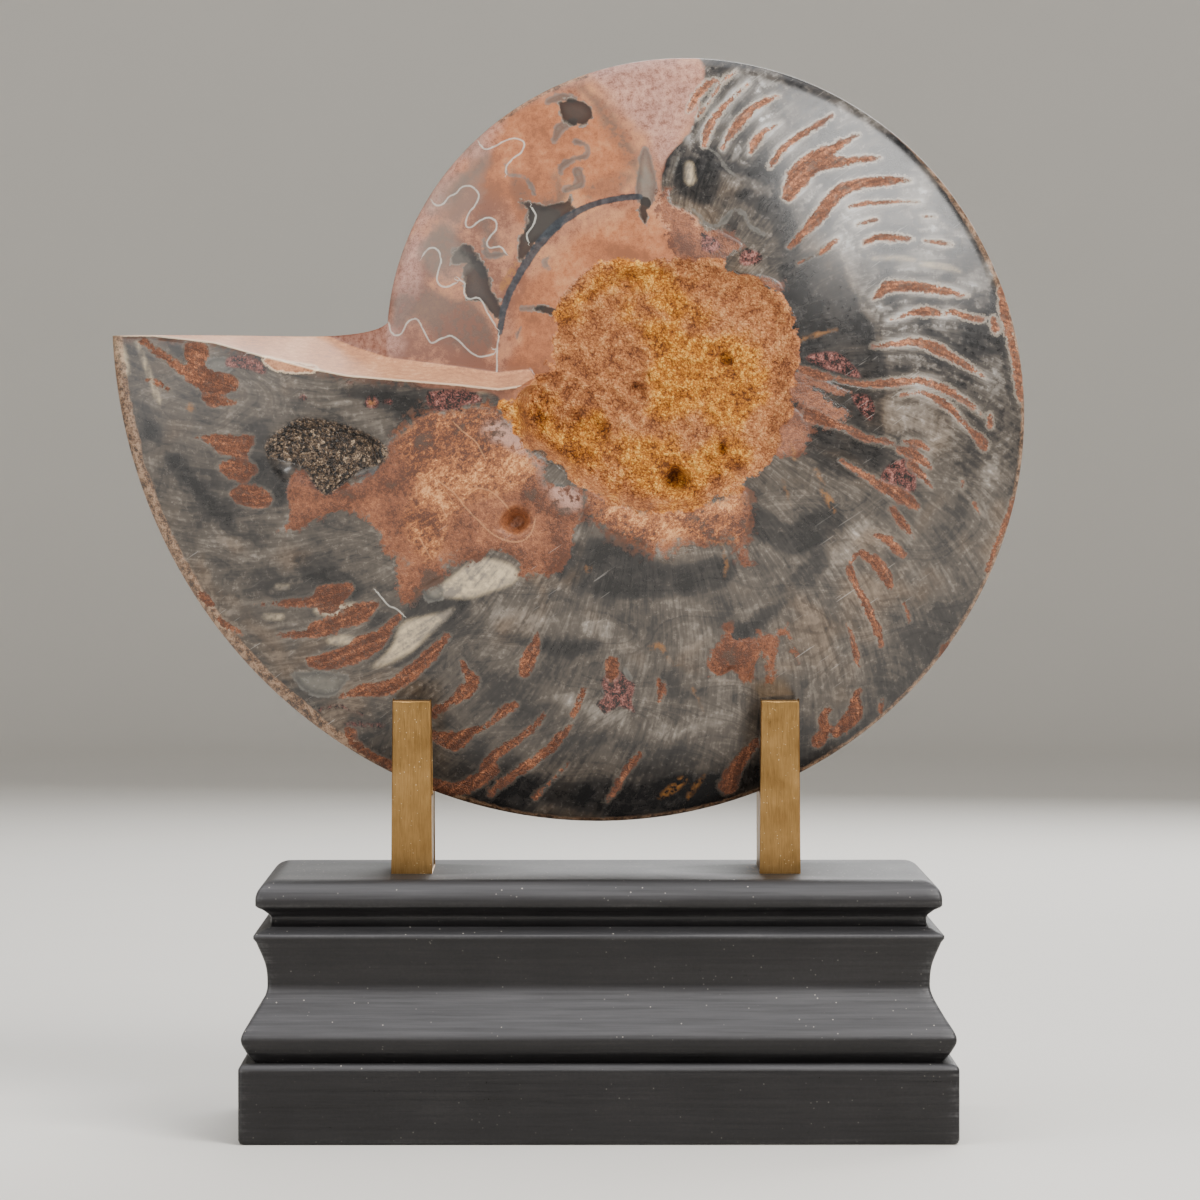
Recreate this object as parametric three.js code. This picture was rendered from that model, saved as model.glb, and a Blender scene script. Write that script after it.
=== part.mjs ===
// Polished ammonite standing in two brass U brackets on a moulded wooden plinth.
// Units are millimetres. +X is to the right, +Y goes away from the viewer, +Z is up.
// The origin is the centre of the plinth's underside.

import * as THREE from 'three';

// Plinth: outer size of the foot slab, and the level of each board above the table.
const FOOT_WIDTH = 149;
const FOOT_DEPTH = 83;
const FOOT_TOP = 16.75;
const MOULDING_TOP = 44.75;
const CAP_TOP = 54.5;

// Each profile point is [inset from the foot slab's outer face, height above the table].
const FOOT_PROFILE = [
  [1, 0],
  [0.3, 0.3],
  [0, 1],
  [0, FOOT_TOP - 1.5],
  [0.45, FOOT_TOP - 0.45],
  [1.5, FOOT_TOP],
];
const BEAD = { inset: 0.6, foot: 3.4, top: [3.2, 26.6], middle: 22.2 };
const COVE = { deepest: 5.8, middle: 33.4, top: [3.6, 41.6] };
const NOSE = { inset: 3, bottom: 42.4, top: 43 };
const NECK_INSET = 6.5;
const CAP = { neckTop: 47.2, inset: 3.4, noseBottom: 49.2, noseTop: 50.3, roundover: 4.4 };
const PROFILE_STEPS = 6;

// Brackets: a square bar bent to a U, seen edge on from the side.
const BRACKET_WIDTH = 8;
const BRACKET_DEPTH = 31;
const SLOT_WIDTH = 15;
const POST_TOP = 90.9;
const SLOT_FLOOR = 70.9;
const BRACKET_SPACING = 77.5;
const BRACKET_SHIFT = -0.5;
const BAR_BEVEL = 0.4;

// Ammonite: a logarithmic spiral about the umbilicus. Angles are in radians from the
// viewer's left, going down, right and up again.
const UMBILICUS = { x: 10.9, z: 160.2 };
const SPIRAL_START_RADIUS = 113.4;
const SPIRAL_RATE = 0.114;
const TIP_ANGLE = THREE.MathUtils.degToRad(-3.9);
const FILLET_ANGLE = THREE.MathUtils.degToRad(349.3);
const FULL_TURN = 2 * Math.PI;

// Half thickness of a whorl, as a share of its outer radius, and the fullness of its flank.
const FLANK_THICKNESS = 0.17;
const FLANK_FULLNESS = 2.2;
const VENTER_HALF_WIDTH = 0.9;
const VENTER_ROUNDING = 2.4;
const BEYOND_VENTER = 6;

// The cut across the aperture: height of its back edge, and points of its front edge
// as [distance left of the umbilicus, height above it].
const CUT_TOP = 8;
const CUT_BOW = 0.5;
const CUT_FRONT_EDGE = [
  [0, -1.2],
  [20, -2.4],
  [31.9, -3.9],
  [41, -2.9],
  [52, -2],
  [63.6, -1],
  [71.2, 0.5],
  [82, 3.3],
  [91.9, 6.1],
  [104.9, 7.7],
  [115.2, 7.8],
];
const CUT_SLOPE = 0.29;
const CUT_FILLET = 4;
const BACK_STEP_SLOPE = 2.6;

// The rough limonite core: edge radius by angle in degrees, and its floor.
const CORE_EDGE = [
  [0, 20.5],
  [10, 29],
  [25, 31],
  [45, 28.5],
  [70, 28.5],
  [90, 30],
  [120, 30.5],
  [150, 31.5],
  [180, 30],
  [200, 31.5],
  [220, 29.5],
  [240, 26.5],
  [270, 23],
  [300, 23.5],
  [330, 21.5],
  [360, 20.5],
];
const CORE_WALL = 3.2;
const CORE_FLOOR = { centre: 9.8, risePerX: 0.035, risePerZ: -0.05, recess: 0.7 };
const CORE_LUMPS = { height: 0.9, pitch: 13 };

// Hollows on the front face: place relative to the umbilicus, half sizes and depth.
const HOLLOWS = [
  { name: 'dark druse', x: -68, z: -17.3, halfWidth: 13, halfHeight: 8.2, depth: 2.6, rough: 0.8 },
  { name: 'small vug', x: -28.6, z: -31.2, halfWidth: 3.8, halfHeight: 3, depth: 2.4, rough: 0 },
  { name: 'core pit', x: 5.4, z: -22.4, halfWidth: 3.2, halfHeight: 2.6, depth: 2.4, rough: 0 },
];

// Mesh density of the ammonite.
const BODY_COLUMNS = 96;
const CUT_COLUMNS = 12;
const INNER_RADIUS = 34;
const FRONT = { side: -1, innerRows: 10, outerRows: 12, height: frontHeight, edgeAngle: frontEdgeAngle };
const BACK = { side: 1, innerRows: 7, outerRows: 8, height: backHeight, edgeAngle: backEdgeAngle };
const COLUMN_TURN_REACH = THREE.MathUtils.degToRad(55);

const clamp01 = (t) => THREE.MathUtils.clamp(t, 0, 1);

// Value of a polyline of [position, value] points at a position.
function alongTable(points, position) {
  const last = points.length - 1;
  if (position <= points[0][0]) return points[0][1];
  if (position >= points[last][0]) return points[last][1];
  const after = points.findIndex((point) => point[0] >= position);
  const [fromPosition, fromValue] = points[after - 1];
  const [toPosition, toValue] = points[after];
  const share = (position - fromPosition) / (toPosition - fromPosition);
  return THREE.MathUtils.lerp(fromValue, toValue, share);
}

// The larger of two values, with a round blend where they differ by less than the fillet.
function roundedMax(a, b, fillet) {
  if (fillet <= 0) return Math.max(a, b);
  const overlap = Math.max(fillet - Math.abs(a - b), 0) / fillet;
  return Math.max(a, b) + (overlap * overlap * fillet) / 4;
}

const spiralRadius = (angle) => SPIRAL_START_RADIUS * Math.exp(-SPIRAL_RATE * angle);

// Half thickness of the whorl whose outer edge is at the given angle of the spiral.
function flank(radius, angle) {
  const outer = spiralRadius(angle);
  const share = radius / outer;
  const fullness = share < 1 ? 1 - share ** FLANK_FULLNESS : -BEYOND_VENTER * (share - 1);
  return FLANK_THICKNESS * outer * fullness + VENTER_HALF_WIDTH;
}

const lumps = (x, z) => {
  const k = FULL_TURN / CORE_LUMPS.pitch;
  const broad = Math.sin(k * x + 0.8) * Math.cos(k * z - 0.4);
  const slanting = Math.sin(0.9 * k * x - 1.3 * k * z) * 0.6;
  return CORE_LUMPS.height * (broad + slanting);
};

// Sinks a flank height to the rough floor of the core inside the core's edge.
function withCore(height, x, z, radius, angle) {
  const degrees = THREE.MathUtils.euclideanModulo(THREE.MathUtils.radToDeg(angle), 360);
  const edge = alongTable(CORE_EDGE, degrees);
  const inside = 1 - THREE.MathUtils.smoothstep(radius, edge - CORE_WALL, edge);
  const level = CORE_FLOOR.centre + CORE_FLOOR.risePerX * x + CORE_FLOOR.risePerZ * z;
  const floor = Math.min(level, height - CORE_FLOOR.recess) + lumps(x, z);
  return THREE.MathUtils.lerp(height, floor, inside);
}

const cutFrontHeight = (x) => alongTable(CUT_FRONT_EDGE, -x);

// Height of the body whorl at the front edge of the cut, straight below it.
function heightAtCut(x) {
  const z = cutFrontHeight(x);
  const angle = Math.atan2(-z, -x);
  const radius = Math.hypot(x, z);
  return withCore(flank(radius, angle), x, z, radius, angle);
}

// Rise of the cut face for each millimetre of depth: it reaches the back edge at CUT_TOP.
function cutSlope(x) {
  const full = (CUT_TOP - cutFrontHeight(x)) / (2 * heightAtCut(x));
  return THREE.MathUtils.clamp(full, 0.02, CUT_SLOPE);
}

// Angle of a point, counted from the cut's front edge so that one turn covers the face.
function turnAngle(x, z) {
  const angle = Math.atan2(-z, -x);
  return angle < 0 ? angle + FULL_TURN : angle;
}

function sunk(height, x, z) {
  return HOLLOWS.reduce((level, hollow) => {
    const reach = Math.hypot((x - hollow.x) / hollow.halfWidth, (z - hollow.z) / hollow.halfHeight);
    const share = 1 - THREE.MathUtils.smoothstep(reach, 0.55, 1);
    return level - share * (hollow.depth + hollow.rough * lumps(2 * x, 2 * z));
  }, height);
}

// Distance of the front face from the mid plane, at a point relative to the umbilicus.
function frontHeight(x, z) {
  const radius = Math.hypot(x, z);
  const angle = turnAngle(x, z);
  const above = z - cutFrontHeight(x);
  const nearCut = x < 0 && (angle < Math.PI / 2 || angle > 1.5 * Math.PI);
  if (nearCut && above >= 0) {
    const later = angle < Math.PI ? angle + FULL_TURN : angle;
    const whorl = withCore(flank(radius, later), x, z, radius, angle);
    const edge = heightAtCut(x);
    const cut = edge - above / cutSlope(x);
    return roundedMax(whorl, cut, Math.min(CUT_FILLET, edge - whorl));
  }
  const signed = nearCut && angle > Math.PI ? angle - FULL_TURN : angle;
  return sunk(withCore(flank(radius, signed), x, z, radius, angle), x, z);
}

// Distance of the back face from the mid plane. Its step down to the earlier whorl is
// along the cut's back edge.
function backHeight(x, z) {
  const radius = Math.hypot(x, z);
  const angle = turnAngle(x, z);
  const nearCut = x < 0 && (angle < Math.PI / 2 || angle > 1.5 * Math.PI);
  if (!nearCut) return withCore(flank(radius, angle), x, z, radius, angle);
  const signed = angle > Math.PI ? angle - FULL_TURN : angle;
  const body = withCore(flank(radius, signed), x, z, radius, angle);
  const whorl = withCore(flank(radius, signed + FULL_TURN), x, z, radius, angle);
  const step = body - Math.max(z - CUT_TOP, 0) * BACK_STEP_SLOPE;
  return roundedMax(whorl, step, Math.min(1, Math.max(body - whorl, 0)));
}

// One point of the outline, relative to the umbilicus, from the tip round to the cut.
function bodyRim(share) {
  const angle = THREE.MathUtils.lerp(TIP_ANGLE, FILLET_ANGLE, share);
  const radius = spiralRadius(angle);
  return new THREE.Vector2(-radius * Math.cos(angle), -radius * Math.sin(angle));
}

const cutTopCurve = new THREE.CubicBezierCurve(
  bodyRim(1),
  new THREE.Vector2(-60, CUT_TOP - 2),
  new THREE.Vector2(-85, CUT_TOP + 2 * CUT_BOW),
  bodyRim(0),
);

function rimPoints() {
  const rim = [];
  for (let i = 0; i < BODY_COLUMNS; i += 1) rim.push(bodyRim(i / BODY_COLUMNS));
  for (let i = 0; i < CUT_COLUMNS; i += 1) rim.push(cutTopCurve.getPoint((i / CUT_COLUMNS) ** 0.7));
  return rim;
}

// Angle of the cut's front edge at a radius, and the rim angle where it starts.
function frontEdgeAngle(radius) {
  const z = cutFrontHeight(-radius);
  return [Math.asin(THREE.MathUtils.clamp(-z / Math.max(radius, 12), -1, 1)), TIP_ANGLE];
}

// The same for the cut's back edge, which runs level from the foot of the earlier whorl.
function backEdgeAngle(radius) {
  return [-Math.asin(CUT_TOP / Math.max(radius, 16)), FILLET_ANGLE - FULL_TURN];
}

// A point of a face at a radius, on the line from the umbilicus to a place on the rim.
// Lines close to the cut turn, so that one of them runs along the cut's edge.
function facePoint(rim, radius, edgeAngle) {
  const rimAngle = Math.atan2(-rim.y, -rim.x);
  const [edge, start] = edgeAngle(radius);
  const reach = 1 - clamp01(Math.abs(rimAngle - start) / COLUMN_TURN_REACH);
  const fade = 1 - THREE.MathUtils.smoothstep(radius / rim.length(), 0.9, 1);
  const angle = rimAngle + (edge - start) * reach * fade;
  return new THREE.Vector2(-radius * Math.cos(angle), -radius * Math.sin(angle));
}

// Radii of the rings along one line: even over the core, even over the flank, and one
// more on the rounded venter.
function ringRadii(full, face) {
  const outer = full - VENTER_ROUNDING;
  const radii = [];
  for (let i = 1; i <= face.innerRows; i += 1) radii.push((INNER_RADIUS * i) / face.innerRows);
  for (let i = 1; i <= face.outerRows; i += 1) {
    radii.push(THREE.MathUtils.lerp(INNER_RADIUS, outer, i / face.outerRows));
  }
  radii.push(full - 0.3 * VENTER_ROUNDING);
  return radii;
}

// Adds one face as rings of points from the umbilicus out to the rim, whose own points
// are there already, at the start of the list.
function addFace(positions, triangles, rim, face) {
  const columns = rim.length;
  const centre = positions.length / 3;
  positions.push(0, face.side * face.height(0, 0), 0);
  const rings = [];
  const radii = rim.map((edge) => ringRadii(edge.length(), face));
  for (let row = 0; row < radii[0].length; row += 1) {
    rings.push(positions.length / 3);
    rim.forEach((edge, column) => {
      const radius = radii[column][row];
      const point = facePoint(edge, radius, face.edgeAngle);
      const rounding = clamp01(1 - (edge.length() - radius) / VENTER_ROUNDING);
      const rimDepth = positions[column * 3 + 1];
      const depth = face.side * face.height(point.x, point.y);
      const y = THREE.MathUtils.lerp(rimDepth, depth, Math.sqrt(1 - rounding ** 2));
      positions.push(point.x, y, point.y);
    });
  }
  rings.push(0);
  const put = (a, b, c) => (face.side < 0 ? triangles.push(a, b, c) : triangles.push(a, c, b));
  for (let column = 0; column < columns; column += 1) {
    const next = (column + 1) % columns;
    put(centre, rings[0] + column, rings[0] + next);
    for (let row = 1; row < rings.length; row += 1) {
      const [inside, outside] = [rings[row - 1], rings[row]];
      put(inside + column, outside + column, outside + next);
      put(inside + column, outside + next, inside + next);
    }
  }
}

function closedGeometry(positions, triangles) {
  const geometry = new THREE.BufferGeometry();
  geometry.setAttribute('position', new THREE.Float32BufferAttribute(positions, 3));
  geometry.setIndex(triangles);
  geometry.computeVertexNormals();
  return geometry;
}

function ammoniteGeometry() {
  const rim = rimPoints();
  const positions = [];
  const triangles = [];
  rim.forEach((point, column) => {
    const depth = column > BODY_COLUMNS ? -frontHeight(point.x, point.y) : 0;
    positions.push(point.x, depth, point.y);
  });
  addFace(positions, triangles, rim, FRONT);
  addFace(positions, triangles, rim, BACK);
  return closedGeometry(positions, triangles);
}

// A board whose four sides carry the same profile, mitred at the corners.
function mitredBoard(profile) {
  const positions = [];
  const triangles = [];
  profile.forEach(([inset, height]) => {
    const x = FOOT_WIDTH / 2 - inset;
    const y = FOOT_DEPTH / 2 - inset;
    positions.push(-x, -y, height, x, -y, height, x, y, height, -x, y, height);
  });
  for (let level = 1; level < profile.length; level += 1) {
    for (let side = 0; side < 4; side += 1) {
      const low = 4 * (level - 1) + side;
      const lowNext = 4 * (level - 1) + ((side + 1) % 4);
      triangles.push(low, lowNext, lowNext + 4, low, lowNext + 4, low + 4);
    }
  }
  const top = 4 * (profile.length - 1);
  triangles.push(0, 2, 1, 0, 3, 2, top, top + 1, top + 2, top, top + 2, top + 3);
  return closedGeometry(positions, triangles);
}

// Points of a smooth curve through the given profile points.
function smoothProfile(points) {
  const curve = new THREE.SplineCurve(points.map(([inset, height]) => new THREE.Vector2(inset, height)));
  return curve.getPoints(PROFILE_STEPS * (points.length - 1)).map((point) => [point.x, point.y]);
}

function mouldingProfile() {
  const bead = smoothProfile([
    [BEAD.foot, FOOT_TOP],
    [1.5, 19.2],
    [BEAD.inset, BEAD.middle],
    BEAD.top,
    [COVE.deepest - 0.4, 30.6],
    [COVE.deepest, COVE.middle],
    [COVE.deepest - 0.5, 37.2],
    COVE.top,
  ]);
  return [...bead, [NOSE.inset, NOSE.bottom], [NOSE.inset, NOSE.top], [NECK_INSET, MOULDING_TOP]];
}

function capProfile() {
  const roundover = [];
  for (let i = 0; i <= PROFILE_STEPS; i += 1) {
    const angle = (Math.PI / 2) * (i / PROFILE_STEPS);
    const inset = CAP.inset + CAP.roundover * (1 - Math.cos(angle));
    roundover.push([inset, CAP.noseTop + (CAP_TOP - CAP.noseTop) * Math.sin(angle)]);
  }
  return [
    [NECK_INSET, MOULDING_TOP],
    [NECK_INSET, CAP.neckTop],
    [CAP.inset + 0.5, CAP.noseBottom - 0.4],
    [CAP.inset, CAP.noseBottom],
    ...roundover,
  ];
}

// A U seen from the side, with the bar's edges bevelled, pushed out along X.
function bracketGeometry() {
  const outer = BRACKET_DEPTH / 2 - BAR_BEVEL;
  const slot = SLOT_WIDTH / 2 + BAR_BEVEL;
  const bottom = CAP_TOP + BAR_BEVEL;
  const top = POST_TOP - BAR_BEVEL;
  const floor = SLOT_FLOOR - BAR_BEVEL;
  const shape = new THREE.Shape([
    new THREE.Vector2(-outer, bottom),
    new THREE.Vector2(outer, bottom),
    new THREE.Vector2(outer, top),
    new THREE.Vector2(slot, top),
    new THREE.Vector2(slot, floor),
    new THREE.Vector2(-slot, floor),
    new THREE.Vector2(-slot, top),
    new THREE.Vector2(-outer, top),
  ]);
  const geometry = new THREE.ExtrudeGeometry(shape, {
    depth: BRACKET_WIDTH - 2 * BAR_BEVEL,
    bevelEnabled: true,
    bevelThickness: BAR_BEVEL,
    bevelSize: BAR_BEVEL,
    bevelSegments: 1,
  });
  geometry.translate(0, 0, BAR_BEVEL - BRACKET_WIDTH / 2);
  // Shape x becomes Y, shape y becomes Z, and the extrusion becomes X.
  geometry.rotateY(Math.PI / 2);
  geometry.rotateX(Math.PI / 2);
  return geometry;
}

const finish = (color, roughness, metalness) => new THREE.MeshStandardMaterial({ color, roughness, metalness });

function part(name, geometry, material, x = 0, z = 0) {
  const mesh = new THREE.Mesh(geometry, material);
  mesh.name = name;
  mesh.position.set(x, 0, z);
  return mesh;
}

const stone = () => finish(0x7b706a, 0.35, 0);
const brass = () => finish(0xa58249, 0.4, 1);
const paintedWood = () => finish(0x2e2f33, 0.5, 0);

const stand = new THREE.Group();
stand.add(
  part('plinth_foot', mitredBoard(FOOT_PROFILE), paintedWood()),
  part('plinth_moulding', mitredBoard(mouldingProfile()), paintedWood()),
  part('plinth_cap', mitredBoard(capProfile()), paintedWood()),
  part('bracket_left', bracketGeometry(), brass(), BRACKET_SHIFT - BRACKET_SPACING / 2),
  part('bracket_right', bracketGeometry(), brass(), BRACKET_SHIFT + BRACKET_SPACING / 2),
);

const ammoniteOnStand = new THREE.Group();
ammoniteOnStand.add(stand, part('ammonite', ammoniteGeometry(), stone(), UMBILICUS.x, UMBILICUS.z));

export default ammoniteOnStand;
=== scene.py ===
"""Polished ammonite standing in two brass U brackets on a moulded, painted wooden plinth.

Lengths are in millimetres until a mesh is made, which holds metres. +X is to the right,
+Y goes away from the viewer, +Z is up. The fossil's own pieces are worked out on its face:
x and z from the umbilicus, with the face's height towards the viewer as a third value.
"""

from collections.abc import Callable
from dataclasses import dataclass, field
from enum import Enum
import logging
import math

import bpy
import numpy as np
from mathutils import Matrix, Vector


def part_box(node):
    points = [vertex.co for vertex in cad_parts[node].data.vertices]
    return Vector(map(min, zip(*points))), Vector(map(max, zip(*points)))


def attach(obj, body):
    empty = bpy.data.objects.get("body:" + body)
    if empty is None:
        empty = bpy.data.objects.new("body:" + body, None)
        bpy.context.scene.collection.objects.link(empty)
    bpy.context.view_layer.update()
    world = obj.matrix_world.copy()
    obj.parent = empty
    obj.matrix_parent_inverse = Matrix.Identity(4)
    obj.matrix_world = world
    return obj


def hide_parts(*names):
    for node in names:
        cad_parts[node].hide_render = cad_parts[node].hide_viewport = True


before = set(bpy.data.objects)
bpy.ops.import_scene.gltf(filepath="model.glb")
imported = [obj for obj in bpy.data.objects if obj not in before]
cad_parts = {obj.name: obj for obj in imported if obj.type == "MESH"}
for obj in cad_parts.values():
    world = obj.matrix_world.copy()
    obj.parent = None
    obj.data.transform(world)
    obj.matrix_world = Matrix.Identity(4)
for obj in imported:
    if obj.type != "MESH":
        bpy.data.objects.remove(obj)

log = logging.getLogger("ammonite")
logging.basicConfig(level=logging.INFO, format="%(name)s: %(message)s")

Array = np.ndarray
Point = tuple[float, float]
Stroke = tuple[tuple[float, float, float], ...]
Outline = tuple[Point, ...]
Colour = tuple[float, float, float]

METRES_PER_MM = 0.001
MM_PER_METRE = 1000.0
FULL_TURN = 2 * math.pi
LEAST_LENGTH = 1e-9
LATTICE_FACTORS = (127.1, 311.7, 74.7)
LATTICE_SPREAD = 43758.5453
FRACTAL_TURN = (0.7, 1.1)
FRACTAL_SHIFT = (17.3, -9.1)
CRYSTAL_FACES = 5
CRYSTAL_STEEPNESS = 1.3
FRACTAL_HEIGHT = 1.6
NOISE_ROUGHNESS = 0.62
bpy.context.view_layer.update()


class Fill(Enum):
    """What an area of the fossil's face is made of, or for a few strokes painted light: sheen, a glint
    and a groove's shadow. The value names its distance attribute.
    """

    GRIT = "grit"
    RUST = "rust"
    OCHRE = "ochre"
    MAROON = "maroon"
    CREAM = "cream"
    PINK = "pink"
    SLATE = "slate"
    PALE = "pale"
    CALCITE = "calcite"
    SEAM = "seam"
    DRUSE = "druse"
    CORE = "core"
    GOLD = "gold"
    WARM = "warm"
    MAUVE = "mauve"
    GILT = "gilt"
    CHIP = "chip"
    SMOKE = "smoke"


def smoothstep(low: float, high: float, value: Array) -> Array:
    """Gives a smooth rise from 0 at low to 1 at high: 3t^2 - 2t^3 of the share t."""
    share = np.clip((value - low) / (high - low), 0, 1)
    return share * share * (3 - 2 * share)


def plateau(value: Array, start: float, full: float, last: float, end: float) -> Array:
    """Gives 1 from full to last, and a smooth fall on both sides to 0 at start and at end."""
    return smoothstep(start, full, value) * (1 - smoothstep(last, end, value))


def lattice(column: Array, row: Array, seed: float) -> Array:
    """Gives one repeatable random number from 0 to 1 for each cell: the fraction of a large sine."""
    by_column, by_row, by_seed = LATTICE_FACTORS
    return np.mod(np.sin(column * by_column + row * by_row + seed * by_seed) * LATTICE_SPREAD, 1.0)


def value_noise(x: Array, z: Array, seed: float) -> Array:
    """Blends the four corner values of each cell with a smooth step.

    Args:
        x: first coordinate, in cells.
        z: second coordinate, in cells.
        seed: which pattern.

    Returns:
        Values from -1 to 1.
    """
    column, row = np.floor(x), np.floor(z)
    across, up = smoothstep(0, 1, x - column), smoothstep(0, 1, z - row)
    low = lattice(column, row, seed) * (1 - across) + lattice(column + 1, row, seed) * across
    high = lattice(column, row + 1, seed) * (1 - across) + lattice(column + 1, row + 1, seed) * across
    return 2 * (low * (1 - up) + high * up) - 1


def fractal(x: Array, z: Array, pitch: float, octaves: int, seed: float) -> Array:
    """Adds noises of halving pitch and halving height, each turned against the last.

    Args:
        x: first coordinate, in mm.
        z: second coordinate, in mm.
        pitch: cell size of the broadest noise, in mm.
        octaves: how many noises are added.
        seed: which pattern.

    Returns:
        Values from about -1 to 1.
    """
    total = np.zeros_like(x)
    for octave in range(octaves):
        turn = FRACTAL_TURN[0] + FRACTAL_TURN[1] * octave
        u = (x * math.cos(turn) - z * math.sin(turn)) * 2**octave / pitch
        v = (x * math.sin(turn) + z * math.cos(turn)) * 2**octave / pitch
        layer = value_noise(u + FRACTAL_SHIFT[0], v + FRACTAL_SHIFT[1], seed + octave)
        total += layer / 2**octave
    return total / FRACTAL_HEIGHT


def crystals(x: Array, z: Array, pitch: float, seed: float) -> Array:
    """Gives crystal tips with flat faces: the highest of nine tilted planes round each point.

    Each cell has one tip at a random place. Its height falls in steps of direction, as the
    largest of the distances along three random axes, so that the tip has flat faces.

    Args:
        x: first coordinate, in mm.
        z: second coordinate, in mm.
        pitch: distance between tips, in mm.
        seed: which pattern.

    Returns:
        Heights from about 0 to 1.
    """
    column, row = np.floor(x / pitch), np.floor(z / pitch)
    best = np.full(x.shape, -np.inf)
    for step_x in (-1, 0, 1):
        for step_z in (-1, 0, 1):
            i, j = column + step_x, row + step_z
            along = x / pitch - i - lattice(i, j, seed)
            up = z / pitch - j - lattice(i, j, seed + 1)
            turn = FULL_TURN * lattice(i, j, seed + 2)
            reach = np.full(x.shape, -np.inf)
            for face in range(CRYSTAL_FACES):
                direction = turn + face * FULL_TURN / CRYSTAL_FACES
                reach = np.maximum(reach, along * np.cos(direction) + up * np.sin(direction))
            best = np.maximum(best, lattice(i, j, seed + 3) - CRYSTAL_STEEPNESS * reach)
    return np.clip(best, 0, 1)


def resampled(points: Array, steps: int, closed: bool = False) -> Array:
    """Gives points of a smooth run through the given ones.

    Each stretch is a cubic whose direction at a point is that of the line between the
    point's neighbours.

    Args:
        points: rows of numbers, one row for each point.
        steps: how many spans each stretch is parted into.
        closed: whether the last point leads back to the first.

    Returns:
        Rows of the same width, with the given points among them.
    """
    if closed:
        before, start = np.roll(points, 1, axis=0), points
        end, after = np.roll(points, -1, axis=0), np.roll(points, -2, axis=0)
    else:
        before = np.vstack([2 * points[0] - points[1], points[:-2]])
        start, end = points[:-1], points[1:]
        after = np.vstack([points[2:], 2 * points[-1] - points[-2]])
    share = (np.arange(steps) / steps)[:, None, None]
    first = (end - before) / 2
    last = (after - start) / 2
    curve = (
        (2 * share**3 - 3 * share**2 + 1) * start
        + (share**3 - 2 * share**2 + share) * first
        + (3 * share**2 - 2 * share**3) * end
        + (share**3 - share**2) * last
    )
    spans = np.swapaxes(curve, 0, 1).reshape(-1, points.shape[1])
    return spans if closed else np.vstack([spans, points[-1]])


def from_line(x: Array, z: Array, start: Array | Point, end: Array | Point) -> tuple[Array, Array]:
    """Measures places against a straight line between two points.

    The nearest point is at the share along the line where a square to it meets the place,
    kept between the ends.

    Args:
        x: first coordinate of the places, in mm.
        z: second coordinate of the places, in mm.
        start: the line's start.
        end: the line's end.

    Returns:
        The distances to the nearest points, and the shares along the line where those lie.
    """
    run_x, run_z = end[0] - start[0], end[1] - start[1]
    length = max(run_x**2 + run_z**2, LEAST_LENGTH)
    share = np.clip(((x - start[0]) * run_x + (z - start[1]) * run_z) / length, 0, 1)
    return np.hypot(x - start[0] - share * run_x, z - start[1] - share * run_z), share


def stroke_distance(x: Array, z: Array, stroke: Array) -> Array:
    """Gives the distance to a line that changes in width, less its half width there.

    For each stretch it is the distance to the nearest point, less the half width blended
    from end to end. The least of the stretches counts, and it is negative inside.

    Args:
        x: first coordinate of the places, in mm.
        z: second coordinate of the places, in mm.
        stroke: rows of x, z and full width, in mm.

    Returns:
        Signed distances, in mm.
    """
    best = np.full(x.shape, np.inf)
    for start, end in zip(stroke[:-1], stroke[1:]):
        away, share = from_line(x, z, start, end)
        best = np.minimum(best, away - (start[2] + share * (end[2] - start[2])) / 2)
    return best


def outline_distance(x: Array, z: Array, outline: Array) -> Array:
    """Gives the distance to a closed outline, negative inside it.

    Inside is where a ray to the right crosses the outline an odd number of times.

    Args:
        x: first coordinate of the places, in mm.
        z: second coordinate of the places, in mm.
        outline: rows of x and z, in mm.

    Returns:
        Signed distances, in mm.
    """
    best = np.full(x.shape, np.inf)
    inside = np.zeros(x.shape, bool)
    for (ax, az), (bx, bz) in zip(outline, np.roll(outline, -1, axis=0)):
        best = np.minimum(best, from_line(x, z, (ax, az), (bx, bz))[0])
        if az != bz:
            crossing = ax + (z - az) / (bz - az) * (bx - ax)
            inside ^= ((az > z) != (bz > z)) & (x < crossing)
    return np.where(inside, -best, best)


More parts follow.
